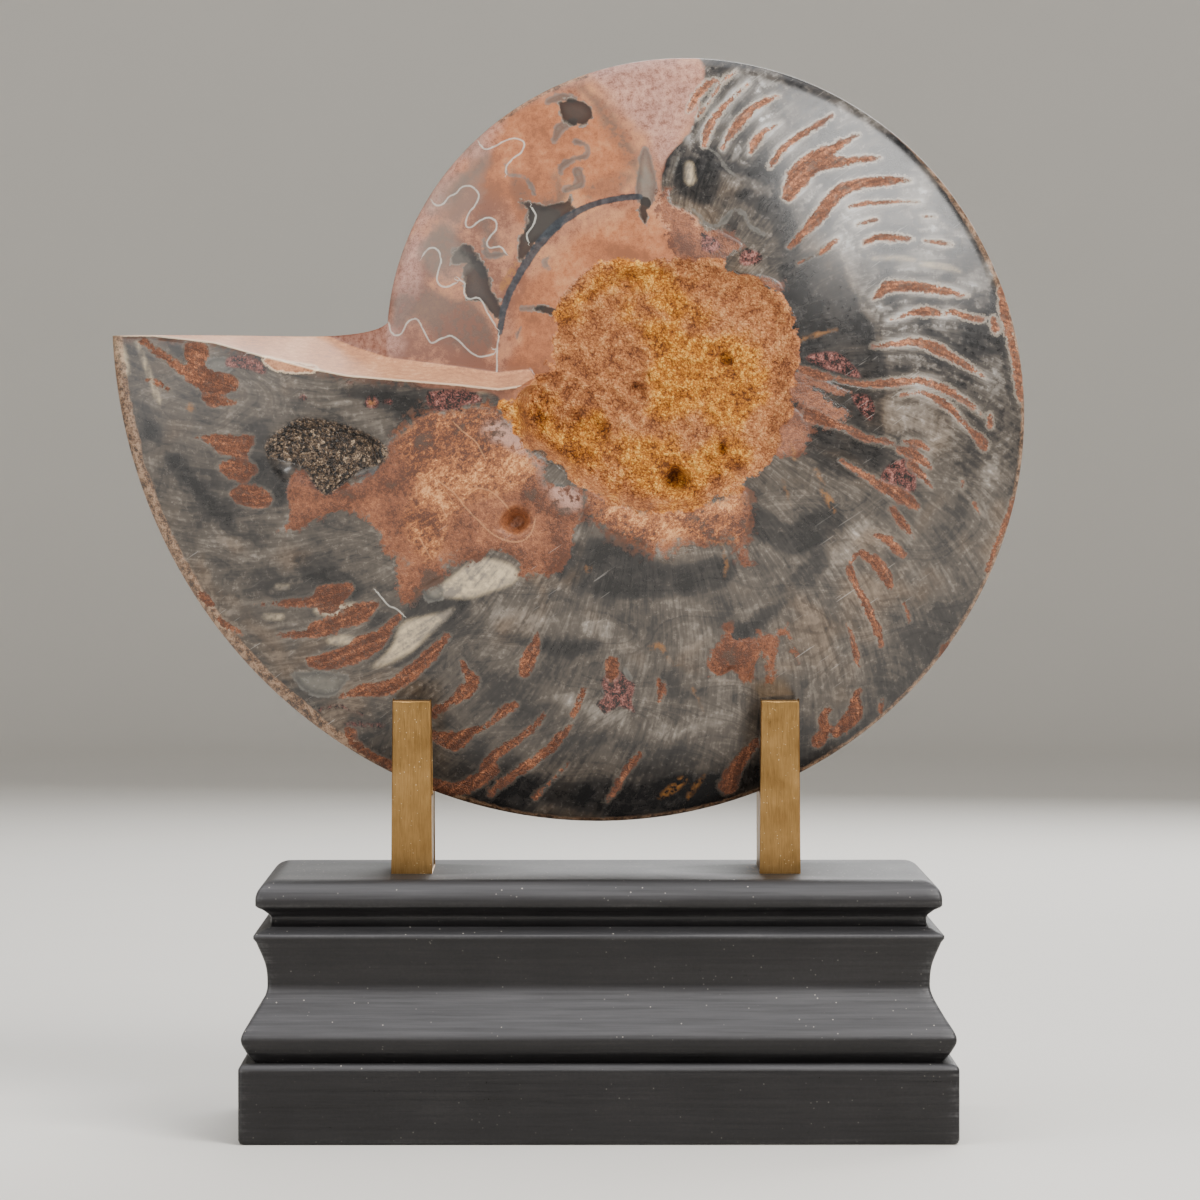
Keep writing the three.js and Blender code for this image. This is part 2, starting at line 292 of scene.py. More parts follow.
@dataclass
class Surface:
    """A mesh being put together from whole arrays of places and faces, in mm."""

    places: list[Array] = field(default_factory=list)
    corners: list[Array] = field(default_factory=list)
    count: int = 0

    def add(self, places: Array) -> Array:
        """Adds places.

        Args:
            places: rows of x, y and z, in mm.

        Returns:
            Their numbers in the mesh.
        """
        self.places.append(places)
        numbers = np.arange(self.count, self.count + len(places))
        self.count += len(places)
        return numbers

    def face(self, *loops: Array) -> None:
        """Adds one face for each entry of the loops, which give its corners in order."""
        self.corners.append(np.stack(loops, axis=-1).reshape(-1, len(loops)))

    def strip(self, inner: Array, outer: Array) -> None:
        """Joins two rings with a strip. The outer ring may have twice the places of the inner.

        Args:
            inner: numbers of the inner ring.
            outer: numbers of the outer ring.
        """
        if len(outer) == 2 * len(inner):
            following = np.roll(inner, -1)
            even, odd = outer[0::2], outer[1::2]
            self.face(inner, even, odd)
            self.face(inner, odd, following)
            self.face(following, odd, np.roll(even, -1))
            return
        self.face(inner, outer, np.roll(outer, -1), np.roll(inner, -1))

    def fan(self, centre: int, ring: Array) -> None:
        """Closes a ring with triangles from a centre place."""
        self.face(np.full(len(ring), centre), ring, np.roll(ring, -1))

    def flipped(self) -> None:
        """Turns every face so far the other way round."""
        self.corners = [faces[:, ::-1] for faces in self.corners]

    def all_places(self) -> Array:
        """Gives the rows of all places, in mm."""
        return np.vstack(self.places)

    def to_object(self, name: str) -> bpy.types.Object:
        """Makes the Blender object, shaded smooth, with its place in its mesh.

        Args:
            name: the piece's name.

        Returns:
            The new object.
        """
        mesh = bpy.data.meshes.new(name)
        places = self.all_places() * METRES_PER_MM
        sizes = np.concatenate([np.full(len(faces), faces.shape[1]) for faces in self.corners])
        loops = np.concatenate([faces.ravel() for faces in self.corners])
        mesh.vertices.add(len(places))
        mesh.vertices.foreach_set("co", places.astype(np.float32).ravel())
        mesh.loops.add(len(loops))
        mesh.loops.foreach_set("vertex_index", loops.astype(np.int32))
        mesh.polygons.add(len(sizes))
        mesh.polygons.foreach_set("loop_start", (np.cumsum(sizes) - sizes).astype(np.int32))
        mesh.polygons.foreach_set("use_smooth", np.ones(len(sizes), bool))
        mesh.update(calc_edges=True)
        mesh.validate()
        piece = bpy.data.objects.new(name, mesh)
        bpy.context.scene.collection.objects.link(piece)
        return piece


def put_attribute(piece: bpy.types.Object, name: str, values: Array) -> None:
    """Stores one number for each place of a piece, for its material to read."""
    attribute = piece.data.attributes.new(name, "FLOAT", "POINT")
    attribute.data.foreach_set("value", values.astype(np.float32))


def put_map(piece: bpy.types.Object, name: str, across: Array, along: Array) -> None:
    """Stores a UV map from two numbers for each place of a piece."""
    loops = np.zeros(len(piece.data.loops), np.int32)
    piece.data.loops.foreach_get("vertex_index", loops)
    layer = piece.data.uv_layers.new(name=name)
    pairs = np.stack([across[loops], along[loops]], axis=-1)
    layer.data.foreach_set("uv", pairs.astype(np.float32).ravel())


def dressed(piece: bpy.types.Object, material: bpy.types.Material, slot: str, *nodes: str) -> None:
    """Gives a piece its material and its body, and hides the parts of the model that it stands for."""
    piece.data.materials.clear()
    piece.data.materials.append(material)
    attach(piece, "root")
    if nodes:
        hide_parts(*nodes)


def srgb(red: float, green: float, blue: float) -> Colour:
    """Turns a screen colour of 0 to 255 into linear light."""
    shares = [part / 255 for part in (red, green, blue)]
    return tuple(s / 12.92 if s <= 0.04045 else ((s + 0.055) / 1.055) ** 2.4 for s in shares)


class Signal:
    """A value in a material. Arithmetic on it adds Math nodes."""

    def __init__(self, graph: "Graph", socket: bpy.types.NodeSocket) -> None:
        """Wraps a socket of a graph."""
        self.graph = graph
        self.socket = socket

    def math(self, operation: str, *values: "Signal | float") -> "Signal":
        """Adds one Math node on this value and others."""
        sockets = dict(enumerate([self, *values]))
        return self.graph.add("ShaderNodeMath", {"operation": operation}, sockets).out()

    def __add__(self, other: "Signal | float") -> "Signal":
        """Gives the sum."""
        return self.math("ADD", other)

    def __radd__(self, other: float) -> "Signal":
        """Gives the sum."""
        return self.math("ADD", other)

    def __sub__(self, other: "Signal | float") -> "Signal":
        """Gives the difference."""
        return self.math("SUBTRACT", other)

    def __rsub__(self, other: float) -> "Signal":
        """Gives a number less this value."""
        return self.graph.add("ShaderNodeMath", {"operation": "SUBTRACT"}, {0: other, 1: self}).out()

    def __mul__(self, other: "Signal | float") -> "Signal":
        """Gives the product."""
        return self.math("MULTIPLY", other)

    def __rmul__(self, other: float) -> "Signal":
        """Gives the product."""
        return self.math("MULTIPLY", other)

    def least(self, other: "Signal | float") -> "Signal":
        """Gives the lower of two values."""
        return self.math("MINIMUM", other)

    def size(self) -> "Signal":
        """Gives the value without its sign."""
        return self.math("ABSOLUTE")

    def rise(self, low: float, high: float) -> "Signal":
        """Gives a smooth step from 0 at low to 1 at high. Low may be the larger."""
        settings = {"interpolation_type": "SMOOTHSTEP"}
        if low <= high:
            sockets = {"Value": self, "From Min": low, "From Max": high}
        else:
            sockets = {"Value": self, "From Min": high, "From Max": low, "To Min": 1.0, "To Max": 0.0}
        return self.graph.add("ShaderNodeMapRange", settings, sockets).out()


@dataclass
class Node:
    """One node of a graph, and the way to its outputs."""

    graph: "Graph"
    node: bpy.types.Node

    def out(self, name: str | int = 0) -> Signal:
        """Gives one output, by its name or its number."""
        return Signal(self.graph, self.node.outputs[name])


class Graph:
    """The nodes of one material."""

    def __init__(self, name: str) -> None:
        """Starts a material with only an output node."""
        self.material = bpy.data.materials.new(name)
        self.material.use_nodes = True
        self.tree = self.material.node_tree
        self.tree.nodes.clear()

    def add(self, kind: str, settings: dict, sockets: dict) -> Node:
        """Adds one node.

        Args:
            kind: the node's type.
            settings: its properties, and "stops" for a ramp's (place, colour) pairs.
            sockets: its inputs by name or number, each a Signal or a plain value.

        Returns:
            The node.
        """
        node = self.tree.nodes.new(kind)
        for name, value in settings.items():
            if name == "stops":
                self.set_stops(node.color_ramp, value)
            else:
                setattr(node, name, value)
        for name, value in sockets.items():
            if isinstance(value, Signal):
                self.tree.links.new(value.socket, node.inputs[name])
            else:
                node.inputs[name].default_value = value
        return Node(self, node)

    @staticmethod
    def set_stops(ramp: bpy.types.ColorRamp, stops: list[tuple[float, Colour]]) -> None:
        """Gives a colour ramp its stops, in order."""
        while len(ramp.elements) < len(stops):
            ramp.elements.new(1.0)
        for element, (place, colour) in zip(ramp.elements, stops):
            element.position = place
            element.color = (*colour, 1.0)

    def attribute(self, name: str) -> Signal:
        """Gives a number stored in the mesh."""
        return self.add("ShaderNodeAttribute", {"attribute_name": name}, {}).out("Fac")

    def millimetres(self) -> Signal:
        """Gives the place in the object's own frame, in mm."""
        place = self.add("ShaderNodeTexCoord", {}, {}).out("Object")
        return self.stretched(place, (MM_PER_METRE, MM_PER_METRE, MM_PER_METRE))

    def stretched(self, vector: Signal, factors: Colour) -> Signal:
        """Gives a vector with each part multiplied."""
        return self.add("ShaderNodeVectorMath", {"operation": "MULTIPLY"}, {0: vector, 1: factors}).out()

    def turned(self, vector: Signal, angles: Colour, factors: Colour) -> Signal:
        """Gives a vector turned by angles, then with each part multiplied."""
        sockets = {"Vector": vector, "Rotation": angles}
        node = self.add("ShaderNodeMapping", {"vector_type": "POINT"}, sockets)
        return self.stretched(node.out(), factors)

    def noise(self, vector: Signal, scale: float, detail: float = 3.0) -> Signal:
        """Gives a soft cloud pattern with values round a half."""
        sockets = {"Vector": vector, "Scale": scale, "Detail": detail, "Roughness": NOISE_ROUGHNESS}
        return self.add("ShaderNodeTexNoise", {}, sockets).out("Fac")

    def cells(self, vector: Signal, scale: float) -> Node:
        """Gives a pattern of cells: the Distance from each cell's point, and its random Color."""
        return self.add("ShaderNodeTexVoronoi", {}, {"Vector": vector, "Scale": scale})

    def ramp(self, factor: Signal, stops: list[tuple[float, Colour]]) -> Signal:
        """Gives the colour of a value on a scale of stops."""
        return self.add("ShaderNodeValToRGB", {"stops": stops}, {0: factor}).out("Color")

    def blend(self, factor: Signal | float, under: Signal | Colour, over: Signal | Colour,
              way: str = "MIX") -> Signal:
        """Lays one colour over another.

        Args:
            factor: how much of the upper colour shows.
            under: the lower colour.
            over: the upper colour.
            way: how they are mixed.

        Returns:
            The mixed colour.
        """
        opaque = [c if isinstance(c, Signal) else (*c, 1.0) for c in (under, over)]
        settings = {"data_type": "RGBA", "blend_type": way, "clamp_factor": True}
        return self.add("ShaderNodeMix", settings, {0: factor, 6: opaque[0], 7: opaque[1]}).out(2)

    def surface(self, colour: Signal, roughness: Signal | float, relief: Signal | None = None,
                **fixed: float) -> bpy.types.Material:
        """Ends the graph with a surface shader.

        Args:
            colour: the base colour.
            roughness: the roughness.
            relief: height of the fine relief, in mm, or nothing.
            fixed: values of other sockets, by their names with _ for each space.

        Returns:
            The material.
        """
        sockets = {"Base Color": colour, "Roughness": roughness}
        sockets |= {name.replace("_", " "): value for name, value in fixed.items()}
        if relief is not None:
            bump = {"Height": relief, "Distance": METRES_PER_MM, "Strength": 1.0}
            sockets["Normal"] = self.add("ShaderNodeBump", {}, bump).out("Normal")
        shader = self.add("ShaderNodeBsdfPrincipled", {}, sockets).out("BSDF")
        self.add("ShaderNodeOutputMaterial", {}, {"Surface": shader})
        return self.material


@dataclass(frozen=True)
class PhotoView:
    """The camera of the photograph: its place, and the pixel that it meets square on."""

    place: tuple[float, float, float] = (-7.0, -1318.5, 135.2)
    square_pixel: Point = (565.0, 490.0)
    focal_pixels: float = 6200.0
    image_pixels: float = 1200.0
    sensor_width: float = 36.0
    clip_metres: Point = (0.05, 20.0)

    def on_plane(self, pixels: Array, depth: Array | float) -> tuple[Array, Array, Array]:
        """Finds where pixels meet an upright plane that faces the camera.

        Args:
            pixels: rows that start with a pixel's column and row.
            depth: Y of the plane, in mm.

        Returns:
            X and Z of the places in mm, and the size of one pixel there.
        """
        scale = (depth - self.place[1]) / self.focal_pixels
        x = self.place[0] + (pixels[:, 0] - self.square_pixel[0]) * scale
        z = self.place[2] + (self.square_pixel[1] - pixels[:, 1]) * scale
        return x, z, scale

    def build(self) -> bpy.types.Object:
        """Makes the camera, turned so that the square pixel lies off the image's middle."""
        lens = bpy.data.cameras.new("camera")
        lens.sensor_width = self.sensor_width
        lens.lens = self.sensor_width * self.focal_pixels / self.image_pixels
        lens.clip_start, lens.clip_end = self.clip_metres
        right, down = (self.image_pixels / 2 - part for part in self.square_pixel)
        camera = bpy.data.objects.new("camera", lens)
        camera.location = [part * METRES_PER_MM for part in self.place]
        camera.rotation_euler = (
            math.pi / 2 - math.atan(down / self.focal_pixels),
            0.0,
            -math.atan(right / self.focal_pixels),
        )
        bpy.context.scene.collection.objects.link(camera)
        bpy.context.scene.camera = camera
        return camera


VIEW = PhotoView()

# The round between the cut and the earlier whorl, which is both pink and mauve.
FILLET_OUTLINE: Outline = (
    (312, 336), (352, 330), (370, 318), (384, 300), (394, 310), (396, 352), (352, 350),
)

# Marks on the fossil's front, by photograph pixel. A stroke's points are (column, row,
# full width), an outline's are (column, row).
STROKES: dict[Fill, dict[str, Stroke]] = {
    Fill.GRIT: {
        "crown_1": ((697, 118, 3), (712, 98, 3), (722, 82, 3), (736, 73, 3)),
        "crown_1_root": ((688, 112, 3), (696, 98, 8), (706, 86, 8), (716, 80, 3)),
        "crown_2": ((704, 145, 6), (706, 135, 9), (712, 122, 9), (724, 107, 7), (738, 93, 5), (748, 84, 3)),
        "crown_3": ((722, 150, 3), (728, 138, 6), (740, 122, 10), (755, 108, 9), (768, 100, 6),
            (779, 96, 1)),
        "crown_4": ((750, 154, 3), (754, 144, 8), (763, 133, 8), (773, 127, 5), (781, 124, 1)),
        "crown_5": ((771, 166, 3), (779, 154, 7), (790, 143, 8), (803, 134, 7), (816, 126, 4),
            (832, 116, 2)),
        "fork": ((788, 196, 12), (797, 180, 22), (806, 168, 22), (822, 157, 18)),
        "fork_upper": ((822, 157, 14), (840, 145, 7), (858, 135, 2)),
        "fork_lower": ((822, 163, 16), (845, 162, 9), (862, 160, 6), (879, 158, 2)),
        "shoulder_1": ((789, 247, 5), (800, 237, 9), (815, 220, 12), (828, 204, 13), (838, 194, 14),
            (850, 187, 12), (868, 183, 9), (890, 181, 8), (910, 181, 3)),
        "shoulder_2": ((849, 207, 3), (865, 204, 4), (880, 203, 4), (900, 202, 3), (921, 202, 2)),
        "shoulder_3": ((857, 225, 3), (868, 222, 4), (877, 220, 2)),
        "shoulder_4": ((864, 244, 4), (873, 239, 6), (885, 237, 6), (900, 238, 4), (912, 239, 1)),
        "shoulder_4_tip": ((925, 241, 2), (940, 243, 5), (951, 245, 2)),
        "shoulder_4_fleck": ((923, 217, 2), (935, 217, 2)),
        "shoulder_5": ((798, 264, 3), (804, 261, 3), (810, 258, 3)),
        "shoulder_5_tip": ((816, 256, 3), (824, 250, 8), (833, 243, 6), (838, 239, 2)),
        "right_1": ((873, 299, 3), (880, 293, 8), (888, 287, 11), (905, 286, 11), (925, 288, 10),
            (945, 291, 9), (960, 294, 5), (968, 295, 1)),
        "right_2": ((888, 321, 1), (900, 317, 4), (915, 312, 7), (930, 312, 8), (942, 314, 6),
            (952, 312, 7), (965, 316, 6), (980, 320, 3), (985, 320, 1)),
        "right_3": ((872, 346, 2), (885, 345, 5), (900, 343, 7), (918, 342, 9), (935, 348, 11),
            (950, 356, 8), (965, 365, 7), (978, 373, 5), (987, 379, 1)),
        "right_4": ((793, 366, 5), (815, 374, 8), (835, 379, 6), (858, 384, 6), (880, 384, 8),
            (900, 382, 8), (918, 381, 9), (935, 385, 9), (950, 392, 7), (965, 401, 6), (975, 408, 4),
            (983, 417, 1)),
        "right_5": ((900, 395, 3), (920, 392, 5), (935, 398, 8), (950, 408, 8), (960, 420, 6),
            (970, 430, 5), (978, 437, 7), (984, 446, 9)),
        "right_5_fleck": ((990, 415, 5), (990, 425, 6)),
        "arm_1": ((810, 415, 14), (835, 425, 8), (850, 430, 8), (865, 438, 6), (885, 441, 5),
            (893, 443, 3)),
        "arm_2": ((840, 460, 6), (860, 472, 8), (878, 484, 10), (895, 493, 12), (908, 500, 11),
            (920, 510, 3)),
        "arm_3": ((900, 450, 6), (910, 453, 9), (922, 460, 10), (930, 467, 6)),
        "arm_4": ((905, 441, 4), (918, 444, 6), (930, 450, 4)),
        "arm_5": ((912, 465, 8), (922, 475, 8), (932, 488, 4)),
        "low_right_1": ((891, 508, 4), (900, 520, 8), (908, 530, 7), (914, 538, 3)),
        "low_right_2": ((876, 535, 7), (888, 540, 10), (896, 548, 9), (903, 555, 5)),
        "hook": ((862, 553, 8), (875, 562, 12), (885, 575, 12), (890, 586, 8)),
        "hook_bridge": ((851, 562, 5), (857, 554, 5), (866, 554, 6)),
        "hook_stem": ((850, 570, 8), (856, 585, 9), (865, 602, 10), (872, 618, 10), (878, 632, 10),
            (882, 645, 6)),
        "low_right_3": ((904, 603, 3), (907, 612, 3), (909, 621, 3)),
        "low_right_4": ((961, 480, 4), (963, 488, 4)),
        "low_right_5": ((974, 503, 2), (980, 515, 2)),
        "low_right_6": ((848, 625, 3), (853, 640, 4), (856, 655, 6), (858, 667, 4)),
        "low_right_7": ((859, 690, 5), (855, 700, 10), (855, 712, 16), (845, 725, 14), (835, 735, 8)),
        "low_right_8": ((828, 710, 8), (823, 720, 10), (826, 730, 10), (818, 742, 12)),
        "low_right_9": ((882, 700, 5), (881, 712, 5)),
        "by_right_bracket": ((757, 742, 10), (745, 755, 12), (735, 770, 16), (728, 785, 20)),
        "bottom_1": ((341, 696, 5), (365, 690, 14), (385, 688, 14), (400, 680, 15), (415, 670, 14),
            (430, 655, 12), (440, 645, 9), (447, 637, 6)),
        "bottom_2": ((463, 662, 6), (466, 672, 8), (473, 682, 14), (465, 692, 16), (455, 700, 10),
            (440, 708, 9), (432, 715, 8)),
        "bottom_3": ((514, 706, 8), (503, 712, 10), (495, 720, 7), (485, 727, 7), (470, 733, 10),
            (455, 742, 18), (440, 738, 12), (432, 735, 10)),
        "bottom_4": ((537, 634, 4), (534, 648, 12), (528, 660, 16), (524, 672, 12)),
        "bottom_5": ((544, 714, 3), (535, 726, 6), (520, 738, 9), (505, 748, 10), (492, 758, 10),
            (484, 768, 8)),
        "bottom_6": ((571, 725, 4), (560, 737, 8), (548, 750, 10), (530, 764, 12), (515, 774, 10),
            (500, 785, 8), (490, 795, 4)),
        "bottom_7": ((584, 690, 6), (579, 702, 8), (573, 715, 8)),
        "bottom_8": ((568, 765, 3), (558, 775, 4), (548, 785, 5), (535, 798, 6)),
        "bottom_9": ((641, 753, 4), (632, 763, 7), (622, 776, 7), (615, 790, 6), (605, 802, 4)),
        "bottom_10": ((658, 680, 4), (661, 690, 8), (659, 702, 5)),
        "mosaic_lobe": ((612, 663, 14), (612, 675, 12)),
        "behind_bracket": ((432, 785, 14), (455, 790, 14), (475, 782, 14), (495, 770, 10)),
        "left_1": ((142, 340, 8), (155, 350, 9), (170, 360, 10), (185, 372, 12), (200, 380, 16),
            (215, 388, 14), (235, 388, 8)),
        "left_2": ((147, 380, 3), (158, 383, 8), (168, 390, 6), (175, 393, 2)),
        "left_3": ((205, 398, 6), (215, 402, 10), (228, 403, 8), (238, 402, 4)),
        "under_left": ((349, 733, 12), (350, 734, 12)),
        "rim_lower_left": ((350, 742, 6), (370, 754, 9), (390, 765, 10), (432, 785, 10)),
        "rim_left_1": ((200, 593, 6), (207, 600, 9), (214, 606, 5)),
        "rim_left_2": ((218, 619, 5), (230, 627, 9), (242, 633, 5)),
        "rim_right_1": ((1015, 500, 7), (1005, 525, 8), (995, 548, 8), (988, 570, 6)),
        "rim_right_2": ((1001, 290, 6), (1006, 320, 9), (1014, 350, 8), (1019, 385, 8), (1021, 400, 5)),
        "rim_right_3": ((993, 320, 5), (996, 330, 7)),
        "rim_right_4": ((947, 645, 5), (943, 655, 5)),
    },
    Fill.MAROON: {
        "streak_1": ((320, 710, 3), (340, 706, 5), (362, 715, 3)),
        "streak_2": ((320, 722, 3), (350, 724, 4), (385, 726, 3)),
        "spot_1": ((303, 397, 7), (304, 397, 7)),
        "spot_2": ((347, 383, 6), (353, 383, 6)),
        "spot_3": ((350, 395, 5), (351, 395, 5)),
        "spot_4": ((388, 402, 5), (389, 402, 5)),
        "ring": ((371, 403, 13), (372, 403, 13)),
        "rib_root": ((460, 395, 4), (455, 405, 5), (462, 412, 4)),
    },
    Fill.OCHRE: {
        "fleck_1": ((790, 440, 3), (795, 458, 5)),
        "fleck_2": ((822, 490, 4), (830, 500, 6), (834, 512, 3)),
        "fleck_3": ((815, 470, 3), (823, 485, 4)),
        "fleck_4": ((783, 480, 4), (790, 505, 3)),
        "bottom_1": ((683, 780, 6), (672, 790, 7), (660, 798, 5)),
        "bottom_2": ((706, 774, 3), (696, 786, 4), (688, 798, 3)),
        "wave": ((650, 648, 2), (660, 645, 2), (666, 655, 2), (675, 665, 2), (695, 660, 2)),
        "dull_1": ((690, 683, 2), (698, 700, 3), (705, 713, 2)),
        "spot": ((190, 407, 10), (190, 408, 10)),
        "ring_middle": ((371, 403, 7), (372, 403, 7)),
        "dull_2": ((800, 340, 2), (818, 334, 3), (836, 330, 2)),
        "dull_3": ((722, 545, 3), (726, 565, 4), (724, 580, 2)),
        "root_spot": ((588, 568, 6), (588, 569, 6)),
        "seam_edge": ((503, 288, 6), (508, 280, 8), (513, 270, 6), (516, 262, 4)),
    },
    Fill.CREAM: {
        "shoulder_6": ((874, 259, 2), (885, 258, 4), (900, 258, 4), (914, 260, 1)),
        "shoulder_6_tip": ((921, 264, 2), (938, 266, 4), (950, 268, 4), (960, 271, 1)),
        "blob_1": ((277, 587, 4), (287, 587, 4)),
        "blob_2": ((265, 617, 4), (281, 617, 5)),
        "streak_1": ((330, 641, 5), (345, 640, 9), (358, 640, 4)),
        "streak_2": ((318, 610, 8), (335, 611, 13), (353, 606, 6)),
        "tip": ((112, 341, 8), (120, 352, 12), (126, 372, 8)),
        "rim_tooth": ((137, 341, 3), (148, 370, 4), (160, 402, 3)),
        "eye_spot": ((689, 166, 8), (690, 180, 10)),
        "crust_glint": ((480, 391, 3), (490, 388, 5), (499, 385, 6), (503, 376, 4)),
    },
    Fill.SLATE: {
        "vug_crevice": ((583, 530, 5), (588, 515, 5), (595, 503, 5), (606, 498, 4)),
        "under_crust": ((345, 392, 14), (380, 398, 18), (410, 408, 16), (428, 418, 10)),
        "root_dark": ((464, 600, 10), (465, 600, 10)),
        "slope_dark": ((300, 560, 20), (325, 575, 26), (352, 588, 20)),
        "bottom_band": ((500, 778, 20), (560, 792, 30), (620, 800, 34), (690, 794, 32), (752, 776, 24)),
        "face_spot": ((555, 341, 6), (556, 348, 5)),
        "pit_sliver": ((537, 309, 3), (557, 311, 4)),
        "arc_above": ((742, 195, 14), (765, 205, 20), (785, 225, 24), (792, 250, 20)),
        "crown_root": ((680, 150, 10), (700, 150, 16), (722, 165, 14), (750, 172, 12), (776, 182, 8)),
        "slope_1": ((150, 430, 8), (190, 480, 10), (235, 530, 8)),
        "tooth_root": ((645, 206, 13), (645, 216, 10), (647, 228, 7)),
        # Painted shadow along a spiral groove that the mesh doesn't have.
        "low_groove_shadow": ((500, 635, 8), (535, 645, 12), (570, 650, 12), (600, 645, 8)),
        "slope_2": ((760, 520, 26), (790, 540, 30), (830, 520, 24)),
        "slope_3": ((820, 560, 16), (780, 600, 20), (735, 640, 14)),
    },
    # Part lighter stone, part painted sheen, mostly the strokes along the rims.
    Fill.PALE: {
        "inner_band": ((866, 525, 14), (840, 555, 20), (800, 585, 20), (760, 610, 18), (735, 622, 10)),
        "right_patch": ((880, 400, 16), (905, 420, 30), (940, 438, 18)),
        "crown_1": ((778, 170, 10), (785, 185, 18), (797, 204, 10)),
        "crown_2": ((802, 196, 8), (822, 192, 12), (840, 186, 8)),
        "crown_3": ((852, 152, 8), (862, 149, 12), (872, 143, 8)),
        "sheen_1": ((900, 168, 10), (932, 198, 22), (956, 236, 20), (974, 280, 16), (984, 320, 12)),
        "bottom_light_1": ((545, 690, 14), (600, 712, 18), (670, 732, 20), (735, 715, 14)),
        "bottom_light_2": ((480, 612, 10), (545, 622, 14), (610, 628, 10)),
        "left_1": ((205, 543, 9), (230, 542, 9)),
        "left_2": ((247, 555, 9), (273, 556, 9)),
        "rim_upper_left": ((398, 250, 18), (415, 205, 22), (445, 165, 22), (480, 130, 14)),
        "flank_left": ((430, 250, 30), (445, 225, 34), (465, 195, 30), (472, 165, 16)),
        "right_rim": ((985, 330, 22), (998, 380, 24), (1000, 430, 22), (990, 475, 18), (975, 520, 14)),
        "boundary": ((842, 252, 3), (864, 290, 4), (888, 335, 4), (890, 390, 3), (886, 440, 3)),
    },
    Fill.SMOKE: {
        "crown_edge": ((582, 88, 6), (598, 105, 12), (612, 126, 16), (628, 150, 14), (640, 176, 16)),
        "over_seam": ((590, 192, 12), (612, 186, 14), (632, 176, 10)),
        "band": ((448, 200, 12), (466, 180, 16), (486, 162, 12)),
        "loop": ((484, 222, 14), (492, 240, 14), (500, 252, 10)),
        "stem": ((512, 170, 8), (520, 190, 10), (524, 206, 12)),
        "twig": ((556, 178, 8), (562, 196, 16), (548, 206, 20)),
    },
    Fill.CALCITE: {
        "blot_1_neck": ((574, 122, 6), (560, 128, 7), (555, 140, 4)),
        "blot_2": ((576, 142, 3), (587, 146, 3), (586, 156, 4), (572, 160, 3), (561, 167, 3),
            (560, 174, 3)),
        "blot_3": ((578, 172, 8), (580, 184, 8), (566, 190, 8)),
        "blot_4": ((506, 160, 4), (507, 174, 5), (520, 176, 2), (530, 184, 2), (535, 195, 2)),
        "sliver_1": ((521, 309, 3), (540, 308, 5)),
        "sliver_2": ((521, 327, 2), (518, 334, 6), (517, 341, 3)),
        "inside_fine": ((660, 225, 2), (672, 232, 3), (680, 245, 5), (681, 262, 3)),
        "top": ((548, 102, 6), (560, 98, 8), (575, 100, 5)),
        "sutured_1": ((455, 252, 8), (475, 262, 9), (483, 275, 8)),
        "sutured_2": ((484, 240, 5), (488, 255, 7), (505, 254, 7)),
        "inner_fan": ((548, 268, 5), (545, 262, 6), (550, 255, 3)),
        "tooth": ((645, 150, 6), (645, 165, 16), (646, 182, 21), (646, 198, 18)),
        "curl_1": ((688, 206, 2), (698, 214, 4), (706, 224, 6), (716, 226, 3), (726, 218, 4), (734, 210, 2),
            (744, 214, 4), (750, 226, 2), (760, 232, 3), (770, 236, 1)),
        "curl_2": ((672, 176, 2), (682, 152, 2), (700, 146, 1), (716, 154, 3), (728, 170, 4),
            (742, 180, 2)),
        "rust_spot_1": ((448, 450, 7), (454, 450, 7)),
        "rust_spot_2": ((469, 452, 6), (472, 453, 6)),
        "rust_spot_3": ((419, 496, 7), (422, 499, 7)),
        "rust_spot_4": ((541, 505, 6), (545, 506, 6)),
        "rust_spot_5": ((560, 520, 8), (566, 512, 9)),
        "low_white_1": ((625, 668, 3), (630, 684, 4), (624, 700, 3)),
        "low_white_2": ((604, 690, 3), (612, 702, 3), (622, 706, 3)),
    },
    Fill.SEAM: {
        "seam": ((500, 334, 5), (501, 325, 6), (505, 305, 7), (514, 284, 7), (527, 262, 8), (542, 241, 9),
            (559, 224, 9), (581, 210, 7), (603, 202, 6), (625, 198, 6), (640, 197, 6)),
    },
}

